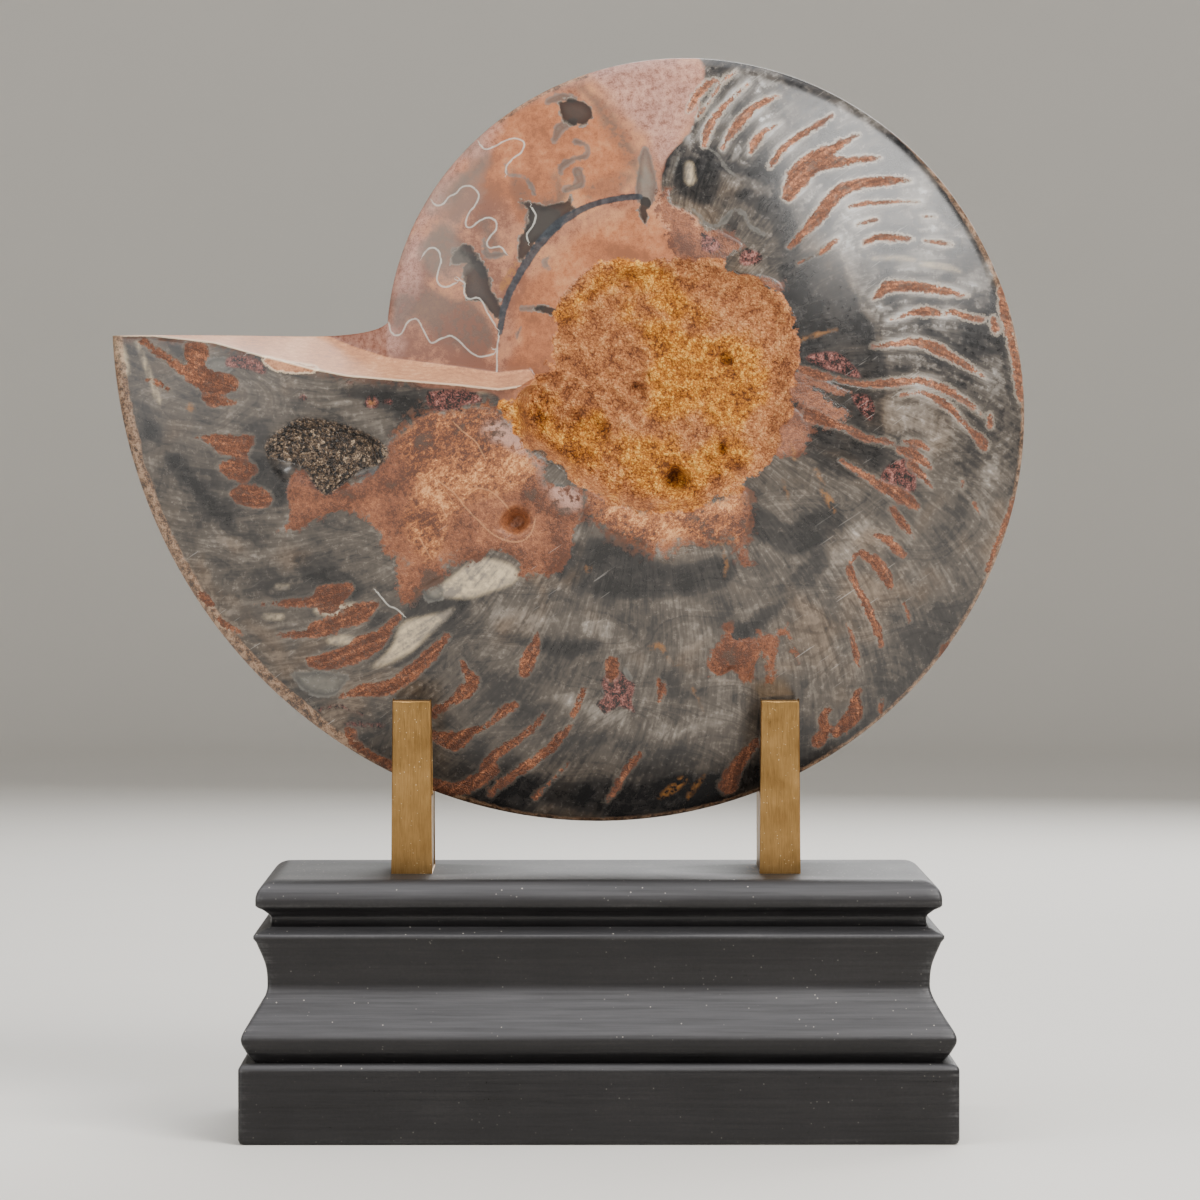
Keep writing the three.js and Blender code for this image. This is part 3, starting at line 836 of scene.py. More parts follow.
OUTLINES: dict[Fill, dict[str, Outline]] = {
    Fill.GRIT: {
        "lower_left_1": ((252, 604), (290, 600), (312, 598), (318, 588), (335, 585), (351, 583), (353, 590),
            (345, 600), (335, 612), (320, 612), (315, 606), (290, 607)),
        "lower_left_2": ((275, 634), (303, 630), (312, 622), (335, 617), (345, 607), (362, 603), (380, 601),
            (372, 615), (360, 625), (345, 627), (335, 634), (320, 638), (285, 638)),
        "lower_left_3": ((303, 658), (320, 655), (345, 648), (358, 635), (375, 632), (388, 622), (400, 612),
            (402, 618), (392, 630), (385, 645), (372, 655), (350, 665), (330, 669), (310, 667)),
        "left_patch": ((184, 345), (195, 341), (208, 345), (210, 355), (205, 365), (215, 372), (235, 376),
            (240, 385), (225, 392), (205, 385), (190, 372), (185, 360)),
        "vein_1": ((192, 437), (203, 436), (215, 433), (235, 436), (253, 436), (250, 450), (245, 457),
            (230, 457), (215, 450), (205, 442)),
        "vein_2": ((217, 465), (235, 460), (250, 463), (258, 470), (250, 477), (243, 483), (238, 480),
            (228, 478)),
        "vein_3": ((230, 492), (238, 488), (247, 486), (262, 488), (272, 495), (270, 505), (258, 508),
            (243, 505), (233, 498)),
    },
    Fill.RUST: {
        "under_core": ((287, 497), (291, 478), (300, 472), (312, 478), (322, 488), (336, 490), (350, 484),
            (376, 474), (390, 440), (410, 425), (430, 412), (450, 408), (480, 405), (495, 410), (510, 425),
            (535, 445), (550, 460), (545, 480), (560, 485), (580, 490), (583, 510), (578, 530), (570, 550),
            (560, 565), (545, 575), (525, 578), (515, 572), (520, 560), (500, 550), (480, 555), (465, 560),
            (450, 572), (430, 583), (420, 590), (412, 600), (403, 603), (397, 590), (393, 575), (390, 560),
            (383, 556), (377, 538), (366, 524), (352, 513), (336, 510), (324, 516), (308, 520), (294, 530),
            (276, 534), (288, 518)),
        "fringe": ((585, 492), (600, 490), (630, 500), (660, 508), (700, 502), (740, 485), (750, 510),
            (746, 535), (750, 565), (740, 562), (735, 545), (722, 537), (700, 548), (675, 560), (660, 563),
            (645, 545), (620, 535), (600, 525), (588, 512)),
        "right_fan": ((778, 385), (795, 380), (815, 388), (835, 400), (850, 412), (842, 425), (825, 425),
            (812, 412), (790, 398)),
        "right_fan_upper": ((788, 366), (800, 370), (820, 378), (840, 388), (852, 393), (835, 396),
            (812, 386), (792, 378)),
        "low_fan": ((775, 400), (790, 405), (805, 420), (810, 440), (795, 455), (770, 455), (765, 435)),
        "low_patch_1": ((707, 665), (712, 650), (722, 640), (728, 625), (732, 632), (738, 640), (757, 640),
            (762, 655), (757, 662), (752, 672), (748, 685), (742, 686), (738, 672), (730, 668), (722, 676),
            (712, 678)),
        "low_patch_2": ((757, 628), (765, 634), (772, 630), (785, 623), (790, 628), (795, 640), (799, 655),
            (797, 663), (790, 650), (786, 640), (780, 636), (778, 650), (777, 668), (773, 684), (768, 680),
            (765, 665), (760, 655)),
        "upper_root": ((660, 195), (668, 190), (672, 205), (690, 212), (700, 222), (720, 232), (735, 240),
            (742, 246), (735, 255), (720, 262), (712, 280), (690, 272), (676, 262), (672, 240), (660, 222),
            (652, 214)),
        "upper_right_shelf": ((712, 275), (735, 270), (765, 276), (780, 284), (778, 292), (748, 290),
            (725, 300), (712, 292)),
    },
    Fill.MAROON: {
        "right_1": ((805, 358), (820, 352), (835, 350), (842, 355), (850, 362), (855, 368), (862, 378),
            (850, 377), (835, 372), (820, 365)),
        "right_2": ((850, 395), (868, 395), (876, 410), (870, 422), (860, 410)),
        "right_3": ((878, 480), (890, 466), (905, 460), (915, 470), (917, 482), (912, 492), (895, 490)),
        "left_1": ((228, 358), (245, 357), (262, 362), (268, 372), (262, 376), (250, 370), (235, 368),
            (227, 365)),
        "under_crust": ((430, 392), (455, 390), (478, 394), (482, 402), (462, 406), (440, 412), (428, 404)),
        "upper_ring": ((737, 258), (744, 250), (755, 250), (762, 258), (756, 266), (742, 268)),
        "upper_edge": ((700, 232), (712, 236), (722, 246), (712, 252), (702, 250)),
        "mosaic": ((602, 684), (608, 672), (618, 668), (626, 680), (636, 684), (632, 698), (634, 712),
            (618, 706), (606, 716), (596, 704), (606, 696)),
    },
    Fill.CREAM: {
        "plate": ((430, 590), (450, 578), (470, 562), (480, 558), (495, 560), (510, 565), (520, 575),
            (510, 585), (490, 592), (470, 598), (450, 598), (435, 597)),
        "band": ((370, 668), (385, 655), (395, 640), (400, 625), (415, 618), (440, 613), (455, 608),
            (440, 625), (425, 638), (412, 652), (395, 660), (385, 665)),
    },
    Fill.SLATE: {
        "spiral_core": ((785, 300), (778, 268), (790, 255), (818, 250), (835, 252), (850, 280), (862, 310),
            (876, 340), (884, 370), (884, 420), (876, 470), (850, 478), (820, 462), (800, 440), (788, 400),
            (792, 350)),
        "eye": ((675, 172), (682, 158), (697, 154), (712, 162), (722, 180), (716, 198), (700, 204),
            (684, 196)),
        "beside_druse": ((250, 478), (262, 462), (280, 460), (287, 475), (285, 495), (280, 520), (275, 500),
            (265, 488), (252, 483)),
        "below_fringe": ((560, 545), (600, 540), (640, 552), (680, 565), (720, 555), (735, 575), (715, 592),
            (660, 598), (600, 592), (560, 580)),
        "left_tooth": ((165, 340), (187, 352), (185, 362), (172, 352)),
        "seam_wedge": ((516, 240), (520, 228), (530, 222), (530, 208), (521, 203), (545, 206), (560, 200),
            (572, 190), (578, 204), (590, 206), (564, 222), (546, 238), (531, 256), (519, 258)),
        "whorl_wedge": ((460, 280), (464, 268), (478, 262), (488, 276), (493, 292), (501, 306), (506, 322),
            (500, 332), (490, 320), (482, 305), (465, 300)),
        "blot_1": ((563, 118), (560, 104), (575, 101), (588, 104), (594, 113), (588, 122), (574, 124)),
        "burr": ((452, 262), (458, 250), (468, 243), (474, 250), (476, 260), (466, 262)),
    },
    Fill.CALCITE: {
        "middle": ((530, 208), (560, 212), (556, 226), (540, 240), (528, 246), (524, 232)),
        "inner_blob": ((551, 486), (560, 482), (569, 488), (568, 498), (560, 503), (551, 498)),
        "cream_blob": ((425, 586), (434, 583), (442, 590), (440, 598), (430, 601), (424, 595)),
        "mauve": ((288, 672), (310, 672), (340, 673), (350, 677), (345, 685), (335, 695), (315, 695),
            (300, 685)),
        "left_light": ((205, 362), (215, 357), (230, 360), (232, 371), (215, 373), (206, 370)),
    },
    Fill.PINK: {
        "fillet": FILLET_OUTLINE,
        "whorl": ((365, 345), (374, 290), (392, 232), (425, 168), (475, 115), (535, 78), (600, 52),
            (660, 48), (700, 54), (704, 84), (696, 118), (690, 135), (676, 148), (664, 160), (660, 190),
            (672, 205), (700, 218), (706, 250), (712, 290), (700, 400), (600, 420), (510, 410), (498, 393),
            (420, 385)),
    },
    Fill.PALE: {
        "outer_mark_1": ((420, 195), (445, 178), (470, 165), (488, 158), (486, 175), (478, 192), (465, 205),
            (462, 218), (446, 218), (428, 222)),
        "outer_mark_2": ((420, 240), (440, 228), (456, 238), (462, 252), (470, 270), (462, 282), (444, 290),
            (436, 280), (424, 262)),
    },
    Fill.SMOKE: {
        "low_whorl": ((388, 300), (425, 284), (462, 300), (478, 302), (492, 326), (494, 350), (470, 352),
            (440, 340), (415, 322), (396, 334)),
        "lens": ((420, 248), (440, 220), (458, 236), (470, 262), (448, 264), (428, 280)),
    },
    Fill.WARM: {
        "middle_zone": ((470, 130), (520, 104), (560, 96), (600, 110), (628, 140), (634, 170), (600, 200),
            (560, 215), (520, 225), (500, 200), (480, 190), (455, 200), (440, 240), (430, 230), (445, 170)),
        "inner": ((515, 400), (508, 350), (520, 300), (548, 262), (580, 232), (620, 212), (655, 208),
            (690, 225), (712, 260), (712, 300), (600, 300), (560, 400)),
    },
    Fill.MAUVE: {
        "crown": ((600, 58), (660, 50), (704, 56), (704, 86), (694, 120), (684, 140), (660, 160),
            (640, 130), (610, 100), (588, 76)),
        "fillet": FILLET_OUTLINE,
        "left_rim": ((380, 330), (396, 250), (425, 185), (480, 125), (500, 130), (450, 190), (425, 250),
            (410, 320)),
        "beside_core": ((484, 428), (505, 424), (522, 434), (540, 456), (560, 478), (582, 492), (578, 506),
            (556, 500), (536, 470), (514, 452)),
    },
    Fill.GILT: {
        "upper": ((398, 425), (430, 412), (470, 404), (505, 412), (530, 440), (540, 470), (515, 492),
            (480, 500), (450, 520), (440, 555), (420, 560), (405, 520), (415, 480), (400, 450)),
        "fringe_rim": ((590, 492), (640, 508), (700, 504), (735, 490), (744, 520), (735, 545), (690, 540),
            (650, 548), (600, 520)),
    },
    Fill.CHIP: {
        "crust_chip": ((262, 356), (275, 371), (312, 373), (317, 366), (290, 362)),
    },
    Fill.DRUSE: {
        "druse": ((265, 450), (270, 437), (285, 427), (300, 418), (320, 419), (345, 425), (370, 435),
            (385, 445), (388, 455), (380, 465), (365, 468), (350, 478), (335, 490), (325, 495), (315, 485),
            (305, 470), (290, 462), (270, 458)),
    },
    Fill.CORE: {
        "core": ((558, 300), (600, 262), (650, 268), (700, 275), (740, 290), (770, 290), (782, 315),
            (770, 335), (790, 345), (792, 360), (788, 372), (775, 390), (775, 410), (765, 440), (755, 460),
            (740, 490), (720, 500), (690, 508), (660, 510), (630, 500), (600, 490), (575, 480), (555, 463),
            (545, 450), (530, 437), (520, 425), (505, 415), (500, 403), (545, 395), (553, 380), (557, 360),
            (558, 330)),
    },
    Fill.GOLD: {
        "left_wall": ((500, 403), (545, 397), (560, 420), (600, 425), (612, 440), (590, 470), (560, 465),
            (530, 437), (505, 415)),
        "upper_left": ((558, 300), (578, 282), (600, 268), (615, 285), (600, 305), (575, 322), (560, 325)),
        "upper": ((615, 262), (650, 262), (665, 275), (650, 285), (625, 275)),
        "middle": ((620, 320), (650, 318), (700, 330), (750, 335), (765, 360), (760, 400), (740, 430),
            (700, 420), (660, 420), (640, 380), (640, 350)),
        "low": ((610, 440), (640, 430), (690, 440), (740, 440), (735, 480), (700, 502), (650, 502),
            (610, 488)),
        "upper_right": ((655, 300), (690, 295), (715, 310), (710, 330), (680, 325)),
    },
}

# White suture lines on the earlier whorl, and other hairlines: (column, row) along each.
VEINS: dict[str, Outline] = {
    "suture_1": ((480, 145), (484, 149), (490, 149), (498, 145), (508, 140), (517, 139), (524, 143),
        (522, 152), (514, 158), (507, 166), (506, 172)),
    "suture_2": ((433, 203), (437, 206), (444, 204), (449, 197), (456, 194), (461, 188), (469, 186),
        (476, 190), (479, 197), (475, 206), (470, 212), (466, 221), (467, 227), (472, 227), (480, 221),
        (489, 218), (496, 222), (496, 230), (490, 237), (487, 243), (490, 248), (500, 247), (505, 252)),
    "suture_3": ((423, 256), (427, 250), (433, 248), (439, 252), (441, 262), (438, 272), (437, 280),
        (441, 286), (448, 287), (456, 283)),
    "suture_3_end": ((460, 280), (465, 284), (464, 292), (468, 299), (478, 298), (483, 303), (488, 314),
        (496, 326)),
    "suture_4": ((389, 324), (391, 332), (396, 336), (402, 333), (406, 325), (411, 320), (417, 319),
        (421, 325), (427, 337), (432, 343), (441, 339), (450, 336), (458, 340), (468, 350), (475, 355),
        (482, 357), (495, 354)),
    "suture_5": ((528, 241), (527, 234), (533, 226), (536, 216), (532, 208)),
    "crust_mark": ((272, 336), (264, 342), (262, 348), (250, 353)),
    "wiggle": ((378, 593), (388, 605), (397, 609), (402, 614)),
    "seam_foot": ((499, 336), (497, 352), (497, 370), (494, 384)),
    "crease_1": ((440, 482), (455, 494), (466, 508), (478, 520), (490, 532), (502, 539), (514, 542),
        (524, 540), (532, 532), (535, 520)),
    "crease_2": ((476, 487), (490, 491), (500, 499), (508, 508)),
    "crease_3": ((456, 425), (466, 434), (476, 442), (484, 456)),
    "crease_4": ((428, 492), (440, 500), (444, 512)),
    "crease_5": ((420, 538), (424, 546), (430, 556)),
}

# Small pits in the core and beside it: (column, row, radius), in pixels.
PITS: dict[str, tuple[float, float, float]] = {
    "core_1": (598, 325, 6),
    "core_2": (638, 392, 8),
    "core_3": (675, 476, 13),
    "core_4": (726, 360, 7),
    "core_5": (722, 448, 6),
    "core_6": (642, 345, 6),
    "hollow_1": (568, 430, 17),
    "hollow_2": (595, 432, 14),
    "vug": (515, 522, 9),
    "face_1": (555, 345, 5),
    "face_2": (465, 248, 6),
}


@dataclass
class Rows:
    """One level of rings of a face: how many times its columns are halved, and its radii."""

    halvings: int
    count: int
    inner_radius: float


@dataclass
class Side:
    """One face of the fossil: which way it looks, its height and its levels of rings."""

    sign: int
    height: Callable[[Array, Array], Array]
    edge: Callable[[Array], Array]
    rim_start: float
    levels: list[Rows]


@dataclass
class Ammonite:
    """The fossil: a logarithmic spiral about the umbilicus, domed on both faces.

    Angles are in radians from the viewer's left, going down, right and up again.
    """

    umbilicus: Point = (10.9, 160.2)
    start_radius: float = 113.4
    spiral_rate: float = 0.114
    tip_angle: float = math.radians(-3.9)
    fillet_angle: float = math.radians(349.3)
    flank_thickness: float = 0.17
    flank_fullness: float = 2.2
    venter_half_width: float = 0.9
    venter_rounding: float = 2.4
    beyond_venter: float = 6.0
    cut_top: float = 8.0
    cut_bow: float = 0.5
    cut_slope: float = 0.29
    least_slope: float = 0.02
    cut_controls: Point = (-60.0, -85.0)
    cut_dip: float = 2.0
    cut_fillet: float = 4.0
    back_step_slope: float = 2.6
    crust_left: tuple[float, ...] = (0, 20, 31.9, 41, 52, 63.6, 71.2, 82, 91.9, 104.9, 115.2)
    crust_height: tuple[float, ...] = (-1.2, -2.4, -3.9, -2.9, -2, -1, 0.5, 3.3, 6.1, 7.7, 7.8)
    core_degrees: tuple[float, ...] = (
        0, 10, 25, 45, 70, 90, 120, 150, 180, 200, 220, 240, 270, 300, 330, 360,
    )
    core_radius: tuple[float, ...] = (
        20.5, 29, 31, 28.5, 28.5, 30, 30.5, 31.5, 30, 31.5, 29.5, 26.5, 23, 23.5, 21.5, 20.5,
    )
    core_wobble: float = 1.6
    core_wall: float = 3.2
    core_floor: float = 9.8
    core_rise: Point = (0.035, -0.05)
    core_recess: float = 0.7
    core_roughness: float = 1.1
    core_grain_height: float = 0.75
    druse_place: Point = (-68, -17.3)
    druse_size: Point = (13, 8.2)
    druse_depth: float = 2.6
    vug_place: Point = (-28.6, -31.2)
    vug_size: Point = (3.8, 3)
    vug_depth: float = 2.4
    core_pit_place: Point = (5.4, -22.4)
    core_pit_size: Point = (3.2, 2.6)
    core_pit_depth: float = 2.4
    pit_depth: float = 1.8
    pit_plane: float = -14.0
    polish_wave: float = 0.1
    back_shift: float = 50.0
    columns: int = 736
    cut_columns: int = 80
    inner_radius: float = 34.0
    crowding: float = 0.5
    crowded_degrees: Point = (215.0, 55.0)
    rim_rows: int = 6
    column_turn_reach: float = math.radians(55)
    front_edge_start: float = 12.0
    back_edge_start: float = 16.0
    depth_rounds: int = 4
    rib_swing: float = math.radians(33)
    rib_swing_start: float = 0.6
    rib_swing_power: float = 1.4
    slit_first: float = math.radians(16)
    slit_spacing: float = math.radians(6.9)
    slit_count: int = 46
    slit_points: int = 8
    slit_start: Point = (0.62, 0.16)
    slit_end: Point = (0.8, 0.15)
    slit_width: Point = (0.6, 2.2)
    slit_gaps: float = 0.2
    flow_scale: Point = (65.0, 80.0)

    def radius_at(self, angle: Array | float) -> Array:
        """Gives the spiral's outer radius: the start radius shrinking by a fixed rate with the angle."""
        return self.start_radius * np.exp(-self.spiral_rate * angle)

    def flank(self, radius: Array, angle: Array) -> Array:
        """Gives the half thickness of a whorl.

        It is a share of the outer radius, times one less a power of the share of that radius,
        and falls off steeply beyond the outer edge.

        Args:
            radius: distance from the umbilicus.
            angle: angle of the whorl along the spiral.

        Returns:
            Heights above the middle plane.
        """
        outer = self.radius_at(angle)
        share = radius / outer
        domed = 1 - np.minimum(share, 1) ** self.flank_fullness
        fullness = np.where(share < 1, domed, -self.beyond_venter * (share - 1))
        return self.flank_thickness * outer * fullness + self.venter_half_width

    def core_edge(self, angle: Array) -> Array:
        """Gives the radius of the core's edge at an angle, by a closed table."""
        return np.interp(np.mod(np.degrees(angle), 360), self.core_degrees, self.core_radius)

    def core_relief(self, x: Array, z: Array) -> Array:
        """Gives the crumbly relief of the core.

        Broad lumps and clumps are noises of falling pitch. The clumps are folded at zero, which
        leaves sharp clefts between rounded heads. The grains are crystal tips.

        Args:
            x: places from the umbilicus, to the right.
            z: places from the umbilicus, upwards.

        Returns:
            Heights in mm, and nearly 0 on average.
        """
        lumps = fractal(x, z, 13, 2, 3)
        return self.core_roughness * (0.75 * lumps + self.core_grains(x, z))

    def core_grains(self, x: Array, z: Array) -> Array:
        """Gives the clumps and grains of the core's relief, without its broad lumps."""
        clumps = 1 - 2.2 * np.abs(fractal(x, z, 4.6, 3, 11)) ** 0.8
        return 0.6 * clumps + self.core_grain_height * (crystals(x, z, 1.7, 31) - 0.5)

    def with_core(self, height: Array, x: Array, z: Array, radius: Array, angle: Array) -> Array:
        """Sinks a flank to the core's rough floor inside the core's ragged edge.

        Args:
            height: height of the flank.
            x: places from the umbilicus, to the right.
            z: places from the umbilicus, upwards.
            radius: distance from the umbilicus.
            angle: angle round the umbilicus.

        Returns:
            Heights above the middle plane.
        """
        past_edge = radius + self.core_wobble * fractal(x, z, 7, 3, 41) - self.core_edge(angle)
        inside = 1 - smoothstep(-self.core_wall, 0, past_edge)
        level = self.core_floor + self.core_rise[0] * x + self.core_rise[1] * z
        floor = np.minimum(level, height - self.core_recess) + self.core_relief(x, z)
        return height + (floor - height) * inside

    def rounded_max(self, a: Array, b: Array, fillet: Array) -> Array:
        """Gives the larger value, with a round blend where the two differ by less than the fillet."""
        safe = np.maximum(fillet, 1e-6)
        overlap = np.maximum(safe - np.abs(a - b), 0) / safe
        return np.maximum(a, b) + np.where(fillet > 0, overlap * overlap * fillet / 4, 0)

    def crust_at(self, x: Array) -> Array:
        """Gives the height of the cut's front edge at a distance left of the umbilicus."""
        return np.interp(-x, self.crust_left, self.crust_height)

    def height_at_crust(self, x: Array) -> Array:
        """Gives the body whorl's half thickness at the cut's front edge, straight below a place."""
        z = self.crust_at(x)
        angle = np.arctan2(-z, -x)
        radius = np.hypot(x, z)
        return self.with_core(self.flank(radius, angle), x, z, radius, angle)

    @staticmethod
    def turn_angle(x: Array, z: Array) -> Array:
        """Gives the angle of a place round the umbilicus, from 0 to a full turn."""
        return np.mod(np.arctan2(-z, -x), FULL_TURN)

    @staticmethod
    def near_cut(x: Array, angle: Array) -> Array:
        """Tells the left half, where the last whorl meets the one before it."""
        return (x < 0) & ((angle < math.pi / 2) | (angle > 1.5 * math.pi))

    @staticmethod
    def dent(x: Array, z: Array, place: Point, size: Point) -> Array:
        """Gives 1 in the middle of an oval hollow and 0 at its edge, by a smooth step."""
        reach = np.hypot((x - place[0]) / size[0], (z - place[1]) / size[1])
        return 1 - smoothstep(0.5, 1, reach)

    def sunk(self, height: Array, x: Array, z: Array) -> Array:
        """Sinks the hollows of the front face: the druse with its crystals, the vug and the pits."""
        wander_x = x + 1.1 * fractal(x, z, 5, 2, 61)
        wander_z = z + 1.1 * fractal(x, z, 5, 2, 67)
        druse = self.dent(wander_x, wander_z, self.druse_place, self.druse_size)
        tips = 1.0 * crystals(x, z, 2.3, 5) + 0.8 * crystals(x, z, 1.1, 9)
        vug = self.dent(wander_x, wander_z, self.vug_place, self.vug_size)
        pit = self.dent(wander_x, wander_z, self.core_pit_place, self.core_pit_size)
        sunken = height - druse * (self.druse_depth - tips) - vug * self.vug_depth
        sunken = sunken - pit * self.core_pit_depth
        for column, row, radius in PITS.values():
            pit_x, pit_z, scale = VIEW.on_plane(np.array([[column, row]], float), self.pit_plane)
            place = (pit_x[0] - self.umbilicus[0], pit_z[0] - self.umbilicus[1])
            size = radius * scale * 1.3
            sunken = sunken - self.dent(wander_x, wander_z, place, (size, size)) * self.pit_depth
        return sunken

    def polished(self, x: Array, z: Array) -> Array:
        """Gives the slight unevenness of the hand-ground faces."""
        return self.polish_wave * fractal(x, z, 22, 2, 71)

    def front_height(self, x: Array, z: Array) -> Array:
        """Gives the distance of the front face from the middle plane.

        Below the cut's front edge it is the last whorl's flank. Above it, it is the higher of
        the sloping cut and the earlier whorl's flank, with a fillet between them.

        Args:
            x: places from the umbilicus, to the right.
            z: places from the umbilicus, upwards.

        Returns:
            Heights towards the viewer.
        """
        radius = np.hypot(x, z)
        angle = self.turn_angle(x, z)
        above = z - self.crust_at(x)
        near = self.near_cut(x, angle)
        later = np.where(angle < math.pi, angle + FULL_TURN, angle)
        whorl = self.with_core(self.flank(radius, later), x, z, radius, angle)
        edge = self.height_at_crust(x)
        full = (self.cut_top - self.crust_at(x)) / (2 * np.maximum(edge, 0.1))
        slope = np.clip(full, self.least_slope, self.cut_slope)
        cut = edge - above / slope
        on_cut = self.rounded_max(whorl, cut, np.minimum(self.cut_fillet, edge - whorl))
        signed = np.where(near & (angle > math.pi), angle - FULL_TURN, angle)
        face = self.with_core(self.flank(radius, signed), x, z, radius, angle)
        return np.where(near & (above >= 0), on_cut, self.sunk(face + self.polished(x, z), x, z))

    def back_height(self, x: Array, z: Array) -> Array:
        """Gives the distance of the back face from the middle plane.

        The last whorl's flank steps down to the earlier whorl along the cut's back edge.

        Args:
            x: places from the umbilicus, to the right.
            z: places from the umbilicus, upwards.

        Returns:
            Heights away from the viewer.
        """
        radius = np.hypot(x, z)
        angle = self.turn_angle(x, z)
        near = self.near_cut(x, angle)
        signed = np.where(near & (angle > math.pi), angle - FULL_TURN, angle)
        body = self.with_core(self.flank(radius, signed), x, z, radius, angle)
        whorl = self.with_core(self.flank(radius, signed + FULL_TURN), x, z, radius, angle)
        step = body - np.maximum(z - self.cut_top, 0) * self.back_step_slope
        fillet = np.minimum(1, np.maximum(body - whorl, 0))
        stepped = self.rounded_max(whorl, step, fillet)
        return np.where(near, stepped, body) + self.polished(x + self.back_shift, z)

    def outline(self) -> Array:
        """Gives the places round the rim: the spiral from the tip to the cut, then the cut's top.

        The spiral's columns stand closer where the slits are, and the cut's top is a cubic
        curve with four control points.

        Returns:
            Rows of x and z.
        """
        body = self.columns - self.cut_columns
        angles = np.linspace(self.tip_angle, self.fillet_angle, 4 * body)
        middle, spread = self.crowded_degrees
        crowding = 1 + self.crowding * np.exp(-(((np.degrees(angles) - middle) / spread) ** 2))
        share = np.cumsum(crowding) - crowding[0]
        angle = np.interp(np.arange(body) / body, share / share[-1], angles)
        radius = self.radius_at(angle)
        spiral = np.stack([-radius * np.cos(angle), -radius * np.sin(angle)], axis=-1)
        ends = [self.fillet_angle, self.tip_angle]
        first, last = (
            self.radius_at(end) * np.array([-math.cos(end), -math.sin(end)]) for end in ends
        )
        t = (np.arange(self.cut_columns) / self.cut_columns)[:, None] ** 0.7
        second = np.array([self.cut_controls[0], self.cut_top - self.cut_dip])
        third = np.array([self.cut_controls[1], self.cut_top + 2 * self.cut_bow])
        left = 1 - t
        curve = left**3 * first + 3 * left**2 * t * second + 3 * left * t**2 * third + t**3 * last
        return np.vstack([spiral, curve])

    def front_edge_angle(self, radius: Array) -> Array:
        """Gives the angle of the cut's front edge at a radius."""
        z = self.crust_at(-radius)
        return np.arcsin(np.clip(-z / np.maximum(radius, self.front_edge_start), -1, 1))

    def back_edge_angle(self, radius: Array) -> Array:
        """Gives the angle of the cut's back edge, which runs level from the earlier whorl's foot."""
        return -np.arcsin(self.cut_top / np.maximum(radius, self.back_edge_start))

    def ring(self, rim: Array, radius: Array, side: Side) -> tuple[Array, Array]:
        """Gives one ring of a face, on lines from the umbilicus to places on the rim.

        Lines close to the cut turn, so that one of them runs along the cut's edge.

        Args:
            rim: rows of x and z on the rim.
            radius: radius of the ring on each line.
            side: the face.

        Returns:
            The ring's x and z.
        """
        full = np.hypot(rim[:, 0], rim[:, 1])
        rim_angle = np.arctan2(-rim[:, 1], -rim[:, 0])
        away = np.abs(rim_angle - side.rim_start)
        reach = 1 - np.clip(away / self.column_turn_reach, 0, 1)
        fade = 1 - smoothstep(0.9, 1, radius / full)
        angle = rim_angle + (side.edge(radius) - side.rim_start) * reach * fade
        return -radius * np.cos(angle), -radius * np.sin(angle)

    def add_side(self, surface: Surface, rim: Array, rim_depth: Array, rim_numbers: Array,
                 side: Side) -> Array:
        """Adds one face: rings from the rim in to the umbilicus.

        Near the rim the height falls to the rim's depth on a quarter round.

        Args:
            surface: the mesh being made.
            rim: rows of x and z on the rim.
            rim_depth: Y of the rim.
            rim_numbers: the rim's numbers in the mesh.
            side: the face.

        Returns:
            The distance of each added place from the rim.
        """
        full = np.hypot(rim[:, 0], rim[:, 1])
        rounding = 1 - (np.arange(1, self.rim_rows + 1) / self.rim_rows) ** 1.6
        margins = []
        last = rim_numbers
        outer_radius = full - self.venter_rounding
        for level in side.levels:
            step = 2**level.halvings
            shares = np.arange(1, level.count + 1) / level.count
            radii = [outer_radius + (level.inner_radius - outer_radius) * share for share in shares]
            if level is side.levels[0]:
                radii = [full - self.venter_rounding * (1 - share) for share in rounding] + radii
            for radius in radii:
                x, z = self.ring(rim[::step], radius[::step], side)
                margin = (full - radius)[::step]
                depth = rim_depth[::step]
                round_share = np.clip(1 - margin / self.venter_rounding, 0, 1)
                y = depth + (side.sign * side.height(x, z) - depth) * np.sqrt(1 - round_share**2)
                numbers = surface.add(np.stack([x, y, z], axis=-1))
                surface.strip(numbers, last)
                margins.append(margin)
                last = numbers
            outer_radius = np.full(len(full), level.inner_radius)
        centre = np.zeros(1)
        middle = surface.add(np.stack([centre, side.sign * side.height(centre, centre), centre], axis=-1))
        surface.fan(middle[0], last)
        return np.concatenate([*margins, [full.mean()]])

    def front_side(self) -> Side:
        """Describes the face towards the viewer, with its finest rows over the core."""
        levels = [Rows(0, 73, self.inner_radius), Rows(1, 40, 17.0), Rows(2, 20, 8.0), Rows(3, 18, 0.6)]
        return Side(-1, self.front_height, self.front_edge_angle, self.tip_angle, levels)

    def back_side(self) -> Side:
        """Describes the face away from the viewer."""
        levels = [Rows(1, 30, self.inner_radius), Rows(2, 22, 12.0), Rows(3, 12, 1.0)]
        return Side(1, self.back_height, self.back_edge_angle, self.fillet_angle - FULL_TURN, levels)

    def on_face(self, pixels: Array) -> Array:
        """Finds the places on the front face that photograph pixels show.

        The depth starts at the middle plane and is worked out again from the height found
        there, a few times over.

        Args:
            pixels: rows of column and row, and a width where there is one.

        Returns:
            Rows of x and z from the umbilicus, and the width in mm.
        """
        depth = np.zeros(len(pixels))
        for _ in range(self.depth_rounds):
            x, z, scale = VIEW.on_plane(pixels, depth)
            x, z = x - self.umbilicus[0], z - self.umbilicus[1]
            depth = -self.front_height(x, z)
        rest = pixels[:, 2:] * scale[:, None]
        return np.column_stack([x, z, rest])

